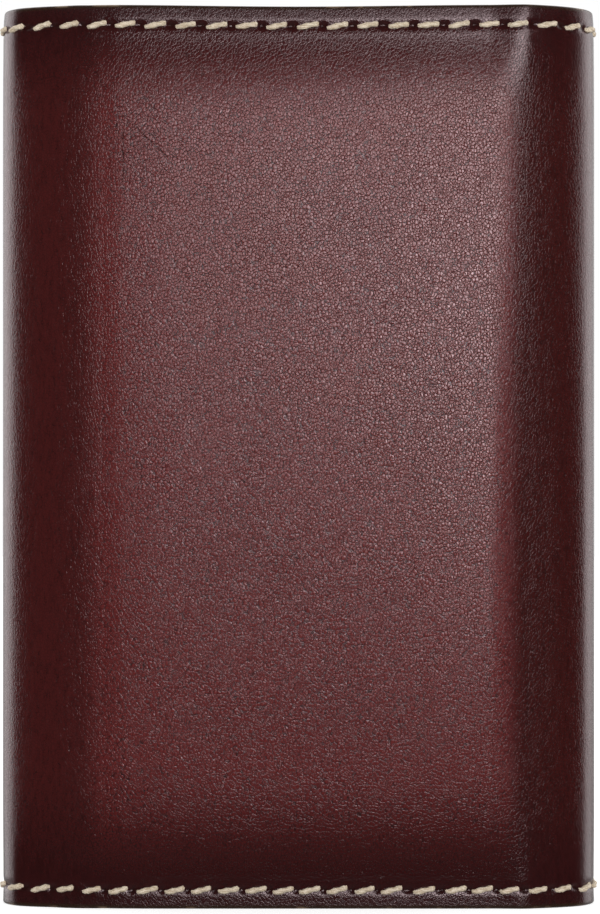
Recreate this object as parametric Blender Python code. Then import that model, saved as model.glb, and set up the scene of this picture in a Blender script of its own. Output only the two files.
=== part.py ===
"""A three-fold leather key case with six hooks, closed and standing on its lower edge.

The plain face looks along -Y. Its two side folds turn the leather back, where a narrow inner flap
and a wide outer flap lie over the keys, and a press stud holds them shut. X runs to the right,
Y to the back and Z up, and the origin is under the middle of the case, on the surface it stands on.
"""

import math
from collections import namedtuple

import bmesh
import bpy
from mathutils import Matrix, Vector

MM = 0.001

# The closed case
CASE_WIDTH = 69.8 * MM
CASE_HEIGHT = 105.0 * MM

# Depth between the linings of centre panel and inner flap, where the hooks and keys hang
KEY_SPACE = 7.4 * MM

# Layers of a panel: leather outside, board in the middle, lining inside
LEATHER_THICK = 1.2 * MM
BOARD_THICK = 0.4 * MM
LINING_THICK = 0.7 * MM
GLUE_GAP = 0.25 * MM

# Side folds: a bend is a quarter ellipse that reaches in from the side, and the front one takes its
# share of the fold's depth, with a narrow flat between the two
RIGHT_FRONT_REACH = 12.7 * MM
RIGHT_BACK_REACH = 9.0 * MM
RIGHT_SIDE_FLAT = 3.0 * MM
RIGHT_FRONT_SHARE = 0.53
LEFT_FRONT_REACH = 14.7 * MM
LEFT_BACK_REACH = 6.0 * MM
LEFT_SIDE_FLAT = 0.4 * MM
LEFT_FRONT_SHARE = 0.63
BEND_EASE_ANGLE = math.radians(14)
SPLIT_GAP = 0.3 * MM
PIVOT_CLEARANCE = 0.15 * MM
BEND_STEPS = 4

# Flaps
OUTER_FLAP_SETBACK = 7.9 * MM
INNER_FLAP_LENGTH = 32.9 * MM
FLAP_STEPS = 4
FACE_STEPS = 5

# Stitching
SEAM_MARGIN = 2.2 * MM
SEAM_EASE = 7.0 * MM
SEAM_FLAT = 1.0 * MM
TOP_PITCH = 3.5 * MM
BOTTOM_PITCH = 3.15 * MM
THREAD_RADIUS = 0.4 * MM
THREAD_HOLE_RADIUS = 0.2 * MM
THREAD_SLANT = 0.24 * MM
THREAD_END_GAP = 1.0 * MM
STITCH_SHARE = 0.68
GROOVE_FLOOR = 1.1 * MM
GROOVE_MOUTH = 1.5 * MM
GROOVE_DEPTH = 0.5 * MM

# Boards stop short of the seams and of the folds
BOARD_EDGE_GAP = 0.5 * MM

# Slip pocket inside the outer flap
POCKET_THICK = 0.8 * MM
POCKET_MARGIN = 4.5 * MM
POCKET_SNAP_CLEARANCE = 7.1 * MM
POCKET_THUMB_RADIUS = 8.0 * MM

# Hook plate with its rail of slots
PLATE_TOP_DROP = 8.0 * MM
PLATE_SIDE = 5.0 * MM
PLATE_FLANGE = 9.6 * MM
PLATE_STEP = 1.0 * MM
PLATE_THICK = 0.7 * MM
PLATE_CORNER = 1.5 * MM
RAIL_HEIGHT = 4.4 * MM
RAIL_BAR = 1.8 * MM
RAIL_STEP = 1.2 * MM
SLOT_HEIGHT = 2.2 * MM
SLOT_WIDTH = 1.9 * MM
PATCH_OVERLAP = 1.0 * MM
PATCH_THICK = 0.9 * MM

# Plate rivets
RIVET_DROP = 4.6 * MM
RIVET_SIDE_CLEARANCE = 0.2 * MM
RIVET_SHANK_RADIUS = 1.2 * MM
RIVET_HEAD_RADIUS = 2.3 * MM
RIVET_HEAD_RISE = 0.8 * MM
RIVET_TAIL_RADIUS = 2.0 * MM
RIVET_TAIL_THICK = 0.3 * MM
HOLE_CLEARANCE = 0.3 * MM

# Key hooks
HOOK_COUNT = 6
HOOK_SIDE_MARGIN = 15.9 * MM
HOOK_CLEARANCE = 0.8 * MM
HOOK_WIRE_RADIUS = 0.6 * MM
EYE_RADIUS = 1.85 * MM
EYE_WIRE_RADIUS = 0.5 * MM
EYE_OVERLAP = 0.35 * MM
HOOK_LENGTH = 29.0 * MM
HOOK_STUB_LENGTH = 1.4 * MM
HOOK_TIP_RISE = 4.6 * MM
GATE_THICK = 0.35 * MM
GATE_WIDTH = 1.8 * MM
GATE_GAP = 0.2 * MM
GATE_FOOT_SHARE = 0.8
GATE_TIP_OVERLAP = 1.4 * MM

# Press stud
SNAP_SETBACK = 11.0 * MM
SNAP_PLAY = 0.3 * MM
CAP_RADIUS = 6.2 * MM
CAP_RISE = 1.2 * MM
CAP_RIM_THICK = 0.5 * MM
SNAP_POST_RADIUS = 1.7 * MM
SNAP_POST_BORE = 1.1 * MM
SOCKET_RADIUS = 5.4 * MM
SOCKET_THICK = 1.0 * MM
SOCKET_BORE = 2.4 * MM
STUD_RADIUS = 4.6 * MM
STUD_FLANGE_THICK = 0.4 * MM
STUD_NECK_RADIUS = 1.45 * MM
STUD_BULB_RADIUS = 1.8 * MM
STUD_TOP_CLEARANCE = 0.35 * MM
EYELET_RADIUS = 4.2 * MM
EYELET_THICK = 0.5 * MM

# Roundness of turned pieces and wires
TURN_STEPS = 20
WIRE_STEPS = 8
EYE_STEPS = 14
EYE_SIDES = 6
DOME_STEPS = 4
PLATE_CORNER_STEPS = 3
CUT_OVERRUN = 2.0 * MM
SAME_POINT = 0.001 * MM

# Depths that follow from those above
BOARD_SPACE = BOARD_THICK + GLUE_GAP
LINING_DEPTH = LEATHER_THICK + GLUE_GAP + BOARD_SPACE
PANEL_THICK = LINING_DEPTH + LINING_THICK
SNAP_SPACE = GLUE_GAP + SOCKET_THICK + SNAP_PLAY + STUD_FLANGE_THICK + GLUE_GAP
CASE_DEPTH = 3 * PANEL_THICK + KEY_SPACE + SNAP_SPACE
FRONT_Y = -(CASE_DEPTH + CAP_RISE) / 2
STUD_RISE = SNAP_SPACE - GLUE_GAP - STUD_FLANGE_THICK - STUD_TOP_CLEARANCE
OUTER_FACE_Y = FRONT_Y + CASE_DEPTH
INNER_FACE_Y = OUTER_FACE_Y - PANEL_THICK - SNAP_SPACE
LINING_Y = FRONT_Y + PANEL_THICK
PATCH_Y = LINING_Y + GLUE_GAP
PLATE_Y = PATCH_Y + PATCH_THICK + GLUE_GAP
RAIL_Y = PLATE_Y + RAIL_STEP
PIVOT_Y = RAIL_Y + PLATE_THICK / 2

# Places across the case
HALF_WIDTH = CASE_WIDTH / 2
OUTER_FLAP_END = -HALF_WIDTH + OUTER_FLAP_SETBACK
INNER_FLAP_END = -HALF_WIDTH + INNER_FLAP_LENGTH
SNAP_X = INNER_FLAP_END - SNAP_SETBACK
HOOK_PITCH = (CASE_WIDTH - 2 * HOOK_SIDE_MARGIN) / (HOOK_COUNT - 1)
HOOK_HALF_WIDTH = (HOOK_PITCH - HOOK_CLEARANCE) / 2 - HOOK_WIRE_RADIUS
HOOK_NECK_DROP = EYE_RADIUS + EYE_WIRE_RADIUS + HOOK_WIRE_RADIUS - EYE_OVERLAP
HOOK_ARCH_DROP = HOOK_NECK_DROP + HOOK_HALF_WIDTH
HOOK_BOTTOM_DROP = HOOK_LENGTH - HOOK_WIRE_RADIUS - HOOK_HALF_WIDTH
HOOK_TIP_DROP = HOOK_BOTTOM_DROP - HOOK_TIP_RISE
PLATE_HALF_WIDTH = HALF_WIDTH - HOOK_SIDE_MARGIN + PLATE_SIDE
FLAT_HALF_WIDTH = HALF_WIDTH - max(LEFT_FRONT_REACH, RIGHT_FRONT_REACH)
RIVET_X = FLAT_HALF_WIDTH - RIVET_TAIL_RADIUS - RIVET_SIDE_CLEARANCE

# Heights
PLATE_TOP = CASE_HEIGHT - PLATE_TOP_DROP
PLATE_FLANGE_LOW = PLATE_TOP - PLATE_FLANGE
PLATE_STEP_LOW = PLATE_FLANGE_LOW - PLATE_STEP
RAIL_LOW = PLATE_STEP_LOW - RAIL_HEIGHT
PIVOT_Z = RAIL_LOW + RAIL_BAR / 2
RIVET_Z = PLATE_TOP - RIVET_DROP
SNAP_Z = CASE_HEIGHT / 2
BOARD_LOW = SEAM_MARGIN + SEAM_FLAT + SEAM_EASE + BOARD_EDGE_GAP
BOARD_TOP = CASE_HEIGHT - BOARD_LOW
CENTRE_BOARD_TOP = RIVET_Z - RIVET_TAIL_RADIUS - BOARD_EDGE_GAP

LEATHER = ((0.048, 0.0090, 0.0080), 0.38, 0.0)
LINING = ((0.060, 0.0150, 0.0120), 0.60, 0.0)
BOARD = ((0.30, 0.22, 0.14), 0.90, 0.0)
THREAD = ((0.60, 0.48, 0.34), 0.80, 0.0)
NICKEL = ((0.62, 0.60, 0.57), 0.25, 1.0)
SPRING_STEEL = ((0.55, 0.55, 0.55), 0.30, 1.0)

Station = namedtuple("Station", "x y nx ny bend")
Bend = namedtuple("Bend", "side x y reach sink turn")


def clear_scene():
    for old in list(bpy.data.objects):
        bpy.data.objects.remove(old)


def finish(name, look):
    colour, roughness, metallic = look
    material = bpy.data.materials.new(name)
    material.use_nodes = True
    shader = material.node_tree.nodes["Principled BSDF"]
    shader.inputs["Base Color"].default_value = (*colour, 1.0)
    shader.inputs["Roughness"].default_value = roughness
    shader.inputs["Metallic"].default_value = metallic
    return material


def add_object(name, data, look):
    piece = bpy.data.objects.new(name, data)
    bpy.context.scene.collection.objects.link(piece)
    data.materials.append(finish(name, look))
    return piece


def object_from(name, mesh, look, smooth=False):
    """A scene object from a bmesh, with its faces turned outwards."""
    bmesh.ops.recalc_face_normals(mesh, faces=mesh.faces[:])
    data = bpy.data.meshes.new(name)
    mesh.to_mesh(data)
    mesh.free()
    if smooth:
        data.shade_smooth()
        data.set_sharp_from_angle(angle=math.radians(40))
    return add_object(name, data, look)


def hang_on(pivot, *pieces):
    """Parents pieces to a pivot without moving them."""
    bpy.context.view_layer.update()
    for piece in pieces:
        piece.parent = pivot
        piece.matrix_parent_inverse = pivot.matrix_world.inverted()


def pivot_at(name, x, y, z, parent=None):
    pivot = bpy.data.objects.new(name, None)
    bpy.context.scene.collection.objects.link(pivot)
    pivot.location = (x, y, z)
    if parent:
        hang_on(parent, pivot)
    return pivot


def ease(share):
    """0 up to share 0, 1 from share 1, and smooth in between."""
    share = min(1.0, max(0.0, share))
    return share * share * (3 - 2 * share)


# The outline of the closed case, seen from above


def side_bends(side, reaches, side_flat, front_share, back_face_y):
    """The front and back bends of one side fold, each a quarter ellipse."""
    front_reach, back_reach = reaches
    both_sinks = back_face_y - FRONT_Y - side_flat
    front_sink = both_sinks * front_share
    back_sink = both_sinks - front_sink
    front_bend = Bend(side, HALF_WIDTH - front_reach, FRONT_Y + front_sink, front_reach, front_sink, -1)
    back_bend = Bend(side, HALF_WIDTH - back_reach, back_face_y - back_sink, back_reach, back_sink, 1)
    return front_bend, back_bend


RIGHT_FRONT, RIGHT_BACK = side_bends(
    1, (RIGHT_FRONT_REACH, RIGHT_BACK_REACH), RIGHT_SIDE_FLAT, RIGHT_FRONT_SHARE, OUTER_FACE_Y
)
LEFT_FRONT, LEFT_BACK = side_bends(
    -1, (LEFT_FRONT_REACH, LEFT_BACK_REACH), LEFT_SIDE_FLAT, LEFT_FRONT_SHARE, INNER_FACE_Y
)


def on_bend(bend, angle):
    """The station of a bend at an ellipse angle: 0 at the case's side, a right angle at the panel."""
    nx = math.cos(angle) / bend.reach
    ny = math.sin(angle) / bend.sink
    length = math.hypot(nx, ny)
    turned = math.atan2(nx, ny)
    return Station(
        bend.side * (bend.x + bend.reach * math.cos(angle)),
        bend.y + bend.turn * bend.sink * math.sin(angle),
        bend.side * nx / length,
        bend.turn * ny / length,
        ease(turned / BEND_EASE_ANGLE),
    )


def middle_angle(bend):
    """The ellipse angle where the leather has made half of its turn."""
    return math.atan2(bend.sink, bend.reach)


def split_angle(bend, towards_panel):
    """The middle angle, moved by half the split gap towards the panel or towards the case's side."""
    middle = middle_angle(bend)
    speed = math.hypot(bend.reach * math.sin(middle), bend.sink * math.cos(middle))
    step = SPLIT_GAP / 2 / speed
    return middle + step if towards_panel else middle - step


def bend_stations(bend, start, end, steps):
    return [on_bend(bend, start + (end - start) * k / steps) for k in range(steps + 1)]


def panel_half_bend(bend, steps=BEND_STEPS):
    """Stations from the panel's flat to the split, in the middle of the bend."""
    return bend_stations(bend, math.pi / 2, split_angle(bend, True), steps)


def fold_half_bend(bend, steps=BEND_STEPS):
    """Stations from the split, in the middle of the bend, to the case's side."""
    return bend_stations(bend, split_angle(bend, False), 0.0, steps)


def flat_stations(start_x, end_x, y, turn, steps):
    """Stations strictly between two ends of a flat panel, at equal steps."""
    return [
        Station(start_x + (end_x - start_x) * k / steps, y, 0.0, turn, 0.0) for k in range(1, steps)
    ]


def centre_stations(steps=BEND_STEPS):
    left = panel_half_bend(LEFT_FRONT, steps)
    right = panel_half_bend(RIGHT_FRONT, steps)
    flat = flat_stations(left[0].x, right[0].x, FRONT_Y, -1, FACE_STEPS)
    return left[::-1] + flat + right


def fold_stations(front_bend, back_bend, steps=BEND_STEPS):
    return fold_half_bend(front_bend, steps) + fold_half_bend(back_bend, steps)[::-1]


def flap_stations(back_bend, end_x, edge_distances, steps=BEND_STEPS):
    """Stations from the split to the flap's free edge, with a line at each distance from that edge."""
    bend = panel_half_bend(back_bend, steps)[::-1]
    face_y = bend[-1].y
    towards_fold = 1 if bend[-1].x > end_x else -1
    edge_lines = [end_x + towards_fold * d for d in sorted(edge_distances, reverse=True)]
    flat = flat_stations(bend[-1].x, edge_lines[0], face_y, 1, FLAP_STEPS)
    return bend + flat + [Station(x, face_y, 0.0, 1, 0.0) for x in edge_lines]


Outline = namedtuple("Outline", "stations along")


def outline_of(stations):
    """Stations with the length along the leather up to each."""
    along = [0.0]
    for first, second in zip(stations, stations[1:]):
        along.append(along[-1] + math.hypot(second.x - first.x, second.y - first.y))
    return Outline(stations, along)


def station_at(outline, length):
    """The station at a length along the outline, blended between its neighbours."""
    stations, along = outline
    k = max(i for i in range(len(along) - 1) if along[i] <= max(length, 0.0))
    share = (length - along[k]) / (along[k + 1] - along[k])
    mixed = [a + (b - a) * share for a, b in zip(stations[k], stations[k + 1])]
    return Station(*mixed)


def place(station, z, depth):
    """The point at a depth under the leather's outer face, at a height."""
    return Vector((station.x - station.nx * depth, station.y - station.ny * depth, z))


# Seams: the leather sinks to the lining along a sewn edge, and its thread lies in a groove


def edge_distance(z, free_edge=None, station=None):
    """How far a point of a panel is from its nearest sewn edge."""
    distance = min(z, CASE_HEIGHT - z)
    if free_edge is not None and station.bend == 0.0:
        distance = min(distance, abs(station.x - free_edge))
    return distance


def seam_sink(distance, bend):
    """How far the leather lies under its full height, near a seam of a panel."""
    falling = (distance - SEAM_MARGIN - SEAM_FLAT) / SEAM_EASE
    return BOARD_SPACE * (1 - ease(falling)) * (1 - bend)


def groove(distance):
    """The depth of the stitching groove at a distance from a sewn edge."""
    off = abs(distance - SEAM_MARGIN)
    wall = (GROOVE_MOUTH - GROOVE_FLOOR) / 2
    return GROOVE_DEPTH * min(1.0, max(0.0, (GROOVE_MOUTH / 2 - off) / wall))


def seam_lines():
    """Distances from a sewn edge at which a leather piece has a line of points."""
    half_mouth, half_floor = GROOVE_MOUTH / 2, GROOVE_FLOOR / 2
    flat_end = SEAM_MARGIN + SEAM_FLAT
    return [
        0.0,
        SEAM_MARGIN - half_mouth,
        SEAM_MARGIN - half_floor,
        SEAM_MARGIN + half_floor,
        SEAM_MARGIN + half_mouth,
        flat_end,
        flat_end + SEAM_EASE / 3,
        flat_end + SEAM_EASE * 2 / 3,
        flat_end + SEAM_EASE,
    ]


def leather_rows():
    low = seam_lines()
    return low + [CASE_HEIGHT - d for d in reversed(low)]


# Sheets: leather, lining and board follow the outline at their own depth


def sheet(name, stations, rows, outer_depth, inner_depth, look):
    """A closed sheet between two depths under the outline, over a grid of stations and rows."""
    mesh = bmesh.new()
    station_of = mesh.verts.layers.int.new("station")
    row_of = mesh.verts.layers.int.new("row")
    grid = []
    for i, station in enumerate(stations):
        column = []
        for j, z in enumerate(rows):
            vert = mesh.verts.new(place(station, z, outer_depth(station, z)))
            vert[station_of] = i
            vert[row_of] = j
            column.append(vert)
        grid.append(column)
    for first, second in zip(grid, grid[1:]):
        for j in range(len(rows) - 1):
            mesh.faces.new((first[j], second[j], second[j + 1], first[j + 1]))
    extruded = bmesh.ops.extrude_face_region(mesh, geom=mesh.faces[:])
    for item in extruded["geom"]:
        if isinstance(item, bmesh.types.BMVert):
            station, z = stations[item[station_of]], rows[item[row_of]]
            item.co = place(station, z, inner_depth(station, z))
    return object_from(name, mesh, look, smooth=True)


def leather(name, stations, free_edge=None):
    """Outer leather, sunk along its seams and grooved for the thread."""

    def outer_depth(station, z):
        distance = edge_distance(z, free_edge, station)
        return seam_sink(distance, station.bend) + groove(distance)

    def inner_depth(station, z):
        distance = edge_distance(z, free_edge, station)
        return seam_sink(distance, station.bend) + LEATHER_THICK

    return sheet(name, stations, leather_rows(), outer_depth, inner_depth, LEATHER)


def lining(name, stations):
    """Lining over the whole height, which moves out to the leather where there is no board."""

    def outer_depth(station, z):
        return LINING_DEPTH - BOARD_SPACE * station.bend

    def inner_depth(station, z):
        return outer_depth(station, z) + LINING_THICK

    return sheet(name, stations, [0.0, CASE_HEIGHT], outer_depth, inner_depth, LINING)


def block(name, low, high, look):
    """A rectangular piece between two corners."""
    mesh = bmesh.new()
    bmesh.ops.create_cube(mesh, size=1.0)
    low, high = Vector(low), Vector(high)
    for vert in mesh.verts:
        vert.co = (low + high) / 2 + vert.co * (high - low)
    return object_from(name, mesh, look)


def board(name, left_x, right_x, top, face_y, turn):
    """Stiffening board between leather and lining of a flat panel."""
    near = face_y - turn * (LEATHER_THICK + GLUE_GAP)
    far = near - turn * BOARD_THICK
    low = (left_x, min(near, far), BOARD_LOW)
    high = (right_x, max(near, far), top)
    return block(name, low, high, BOARD)


# Cutters


def cut(piece, *cutters):
    for cutter in cutters:
        modifier = piece.modifiers.new("cut", "BOOLEAN")
        modifier.operation = "DIFFERENCE"
        modifier.object = cutter


def hide(cutter):
    cutter.hide_render = True
    cutter.display_type = "WIRE"
    return cutter


def rod_cutter(name, radius, x, z, start_y, end_y):
    """A round cutter along Y."""
    mesh = bmesh.new()
    length = abs(end_y - start_y)
    bmesh.ops.create_cone(
        mesh, cap_ends=True, segments=TURN_STEPS, radius1=radius, radius2=radius, depth=length
    )
    bmesh.ops.rotate(mesh, verts=mesh.verts[:], matrix=Matrix.Rotation(math.pi / 2, 3, "X"))
    bmesh.ops.translate(mesh, verts=mesh.verts[:], vec=(x, (start_y + end_y) / 2, z))
    return hide(object_from(name, mesh, BOARD))


# Threads


def stitch_run(length, pitch, lead_in=True):
    """Points of one straight run of lockstitch: (along, across, lift, radius share)."""
    count = max(1, round(length / pitch))
    step = length / count
    hole_share = THREAD_HOLE_RADIUS / THREAD_RADIUS
    hole_lift = -GROOVE_DEPTH + THREAD_HOLE_RADIUS + (GROOVE_DEPTH - THREAD_RADIUS) / 2
    points = []
    for k in range(count):
        if lead_in or k:
            points.append((k * step, 0.0, hole_lift, hole_share))
        points.append(((k + (1 - STITCH_SHARE) / 2) * step, -THREAD_SLANT, 0.0, 1.0))
        points.append(((k + (1 + STITCH_SHARE) / 2) * step, THREAD_SLANT, 0.0, 1.0))
    points.append((length, 0.0, hole_lift, hole_share))
    return points


def thread(name, points, look=THREAD):
    """A thread through points of (position, radius share)."""
    curve = bpy.data.curves.new(name, "CURVE")
    curve.dimensions = "3D"
    curve.bevel_depth = THREAD_RADIUS
    curve.bevel_resolution = 0
    curve.use_fill_caps = True
    spline = curve.splines.new("POLY")
    spline.points.add(len(points) - 1)
    for target, (position, share) in zip(spline.points, points):
        target.co = (*position, 1.0)
        target.radius = share
    return add_object(name, curve, look)


def on_leather(outline, length, z, lift, free_edge=None):
    """A point above the leather's face by a lift, at a length along the outline and a height."""
    station = station_at(outline, length)
    sink = seam_sink(edge_distance(z, free_edge, station), station.bend)
    return place(station, z, sink - lift)


def row_thread(name, outline, z, pitch):
    """A thread along one row that crosses a whole piece."""
    start = THREAD_END_GAP
    length = outline.along[-1] - 2 * start
    points = [
        (on_leather(outline, start + along, z + across, lift), share)
        for along, across, lift, share in stitch_run(length, pitch)
    ]
    return thread(name, points)


def flap_thread(name, outline, free_edge):
    """A thread along a flap's top edge, down its free edge and back along its bottom edge."""
    start = THREAD_END_GAP
    row_end = outline.along[-1] - SEAM_MARGIN
    low, high = SEAM_MARGIN, CASE_HEIGHT - SEAM_MARGIN
    points = []
    for along, across, lift, share in stitch_run(row_end - start, TOP_PITCH):
        points.append((on_leather(outline, start + along, high + across, lift, free_edge), share))
    for along, across, lift, share in stitch_run(high - low, TOP_PITCH, lead_in=False):
        points.append((on_leather(outline, row_end + across, high - along, lift, free_edge), share))
    for along, across, lift, share in stitch_run(row_end - start, BOTTOM_PITCH, lead_in=False):
        points.append((on_leather(outline, row_end - along, low + across, lift, free_edge), share))
    return thread(name, points)


# Turned pieces


def turned(name, profile, x, z, look):
    """A piece turned about a line along Y at (x, z), from a closed profile of (radius, y)."""
    mesh = bmesh.new()
    ring = [mesh.verts.new((x + radius, y, z)) for radius, y in profile]
    edges = [mesh.edges.new((a, b)) for a, b in zip(ring, ring[1:] + ring[:1])]
    bmesh.ops.spin(
        mesh,
        geom=ring + edges,
        cent=(x, 0.0, z),
        axis=(0.0, 1.0, 0.0),
        angle=2 * math.pi,
        steps=TURN_STEPS,
        use_merge=True,
    )
    bmesh.ops.remove_doubles(mesh, verts=mesh.verts[:], dist=SAME_POINT)
    loose = [edge for edge in mesh.edges if not edge.link_faces]
    bmesh.ops.delete(mesh, geom=loose, context="EDGES")
    return object_from(name, mesh, look, smooth=True)


def dome_profile(radius, base_y, rise, steps=DOME_STEPS):
    """The outer curve of a low dome, from its rim to its top on the axis."""
    points = []
    for k in range(steps + 1):
        angle = math.pi / 2 * k / steps
        points.append((radius * math.cos(angle), base_y + rise * math.sin(angle)))
    points[-1] = (0.0, base_y + rise)
    return points


# Panels and folds


def centre_panel():
    stations = centre_stations()
    face = leather("centre_leather", stations)
    board("centre_board", -LEFT_FRONT.x + BOARD_EDGE_GAP, RIGHT_FRONT.x - BOARD_EDGE_GAP,
          CENTRE_BOARD_TOP, FRONT_Y, -1)
    inside = lining("centre_lining", stations)
    outline = outline_of(centre_stations(4 * BEND_STEPS))
    row_thread("centre_top_thread", outline, CASE_HEIGHT - SEAM_MARGIN, TOP_PITCH)
    row_thread("centre_bottom_thread", outline, SEAM_MARGIN, BOTTOM_PITCH)
    return face, inside


def fold(name, bends):
    """One side fold: its leather, lining and the two short rows of thread."""
    stations = fold_stations(*bends)
    outline = outline_of(fold_stations(*bends, 4 * BEND_STEPS))
    return (
        leather(name + "_leather", stations),
        lining(name + "_lining", stations),
        row_thread(name + "_top_thread", outline, CASE_HEIGHT - SEAM_MARGIN, TOP_PITCH),
        row_thread(name + "_bottom_thread", outline, SEAM_MARGIN, BOTTOM_PITCH),
    )


def flap(name, back_bend, end_x):
    """One flap: leather, board, lining and the thread round its three sewn edges."""
    towards_fold = 1 if back_bend.side * back_bend.x > end_x else -1
    fold_side = back_bend.side * back_bend.x - towards_fold * BOARD_EDGE_GAP
    free_side = end_x + towards_fold * BOARD_LOW
    stations = flap_stations(back_bend, end_x, seam_lines())
    outline = outline_of(flap_stations(back_bend, end_x, seam_lines(), 4 * BEND_STEPS))
    face_y = stations[-1].y
    left_x, right_x = sorted((fold_side, free_side))
    return (
        leather(name + "_leather", stations, end_x),
        board(name + "_board", left_x, right_x, BOARD_TOP, face_y, 1),
        lining(name + "_lining", flap_stations(back_bend, end_x, [0.0])),
        flap_thread(name + "_thread", outline, end_x),
    )


def slip_pocket():
    """A slip pocket sewn inside the outer flap, with a thumb cut in its mouth."""
    near_y = OUTER_FACE_Y - PANEL_THICK - GLUE_GAP
    left_x = OUTER_FLAP_END + POCKET_MARGIN
    right_x = RIGHT_BACK.x - POCKET_MARGIN
    mouth_z = SNAP_Z - SOCKET_RADIUS - POCKET_SNAP_CLEARANCE
    pocket = block(
        "slip_pocket",
        (left_x, near_y - POCKET_THICK, POCKET_MARGIN),
        (right_x, near_y, mouth_z),
        LINING,
    )
    thumb = rod_cutter(
        "thumb_cutter",
        POCKET_THUMB_RADIUS,
        (left_x + right_x) / 2,
        mouth_z,
        near_y - POCKET_THICK - CUT_OVERRUN,
        near_y + CUT_OVERRUN,
    )
    cut(pocket, thumb)
    return pocket


# Hook plate


def plate_profile():
    """The plate's section in (y, z): a flange against its patch, stepped forward to the rail."""
    return [
        (PLATE_Y, PLATE_TOP),
        (PLATE_Y, PLATE_FLANGE_LOW),
        (RAIL_Y, PLATE_STEP_LOW),
        (RAIL_Y, RAIL_LOW),
        (RAIL_Y + PLATE_THICK, RAIL_LOW),
        (RAIL_Y + PLATE_THICK, PLATE_STEP_LOW),
        (PLATE_Y + PLATE_THICK, PLATE_FLANGE_LOW),
        (PLATE_Y + PLATE_THICK, PLATE_TOP),
    ]


def hook_x(number):
    return (number - (HOOK_COUNT - 1) / 2) * HOOK_PITCH


def hook_plate():
    mesh = bmesh.new()
    left = [mesh.verts.new((-PLATE_HALF_WIDTH, y, z)) for y, z in plate_profile()]
    end = mesh.faces.new(left)
    extruded = bmesh.ops.extrude_face_region(mesh, geom=[end])
    moved = [item for item in extruded["geom"] if isinstance(item, bmesh.types.BMVert)]
    bmesh.ops.translate(mesh, verts=moved, vec=(2 * PLATE_HALF_WIDTH, 0.0, 0.0))
    corners = [
        edge
        for edge in mesh.edges
        if all(abs(v.co.z - PLATE_TOP) < PLATE_THICK / 2 for v in edge.verts)
        and abs(edge.verts[0].co.y - edge.verts[1].co.y) > PLATE_THICK / 2
    ]
    bmesh.ops.bevel(
        mesh, geom=corners, offset=PLATE_CORNER, segments=PLATE_CORNER_STEPS, profile=0.5, affect="EDGES"
    )
    plate = object_from("hook_plate", mesh, NICKEL)
    for number in range(HOOK_COUNT):
        x = hook_x(number)
        slot = block(
            f"slot_cutter_{number + 1}",
            (x - SLOT_WIDTH / 2, RAIL_Y - CUT_OVERRUN, RAIL_LOW + RAIL_BAR),
            (x + SLOT_WIDTH / 2, RAIL_Y + CUT_OVERRUN, RAIL_LOW + RAIL_BAR + SLOT_HEIGHT),
            NICKEL,
        )
        cut(plate, hide(slot))
    return plate


def plate_patch():
    """The leather patch between the plate and the lining."""
    half_width = PLATE_HALF_WIDTH + PATCH_OVERLAP
    return block(
        "plate_patch",
        (-half_width, PATCH_Y, PLATE_FLANGE_LOW - PATCH_OVERLAP),
        (half_width, PATCH_Y + PATCH_THICK, PLATE_TOP + PATCH_OVERLAP),
        LEATHER,
    )


def plate_rivet(name, x):
    """A rivet through plate, patch and lining, clenched in the space behind the lining."""
    head_y = PLATE_Y + PLATE_THICK + GLUE_GAP / 2
    tail_y = FRONT_Y + LINING_DEPTH - GLUE_GAP / 2
    profile = [
        (0.0, tail_y - RIVET_TAIL_THICK),
        (RIVET_TAIL_RADIUS, tail_y - RIVET_TAIL_THICK),
        (RIVET_TAIL_RADIUS, tail_y),
        (RIVET_SHANK_RADIUS, tail_y),
        (RIVET_SHANK_RADIUS, head_y),
    ]
    profile += dome_profile(RIVET_HEAD_RADIUS, head_y, RIVET_HEAD_RISE)
    return turned(name, profile, x, RIVET_Z, NICKEL)


def riveted_plate(inside):
    """The plate on its patch, with both rivets and their holes."""
    plate = hook_plate()
    patch = plate_patch()
    for name, x in (("left", -RIVET_X), ("right", RIVET_X)):
        plate_rivet("plate_rivet_" + name, x)
        hole = rod_cutter(
            f"rivet_cutter_{name}",
            RIVET_SHANK_RADIUS + HOLE_CLEARANCE,
            x,
            RIVET_Z,
            FRONT_Y + LEATHER_THICK,
            PLATE_Y + CUT_OVERRUN,
        )
        for layer in (plate, patch, inside):
            cut(layer, hole)


# Hooks and their gates, drawn about the hook's pivot


def hook_path():
    """The hook's wire in (x, z): from the stub over the arch, down, round the bottom and up to the tip."""
    w = HOOK_HALF_WIDTH
    points = [(w, -HOOK_ARCH_DROP - HOOK_STUB_LENGTH)]
    for k in range(WIRE_STEPS + 1):
        angle = math.pi * k / WIRE_STEPS
        points.append((w * math.cos(angle), -HOOK_ARCH_DROP + w * math.sin(angle)))
    for k in range(WIRE_STEPS + 1):
        angle = math.pi + math.pi * k / WIRE_STEPS
        points.append((w * math.cos(angle), -HOOK_BOTTOM_DROP + w * math.sin(angle)))
    points.append((w, -HOOK_TIP_DROP))
    return points


def wire_mesh(name, path, radius):
    """A round wire along a path in the XZ plane, as a mesh."""
    curve = bpy.data.curves.new(name, "CURVE")
    curve.dimensions = "3D"
    curve.bevel_depth = radius
    curve.bevel_resolution = 2
    curve.use_fill_caps = True
    spline = curve.splines.new("POLY")
    spline.points.add(len(path) - 1)
    for target, (x, z) in zip(spline.points, path):
        target.co = (x, 0.0, z, 1.0)
    wire = bpy.data.objects.new(name, curve)
    bpy.context.scene.collection.objects.link(wire)
    bpy.context.view_layer.update()
    graph = bpy.context.evaluated_depsgraph_get()
    data = bpy.data.meshes.new_from_object(wire.evaluated_get(graph))
    bpy.data.objects.remove(wire)
    return data


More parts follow.
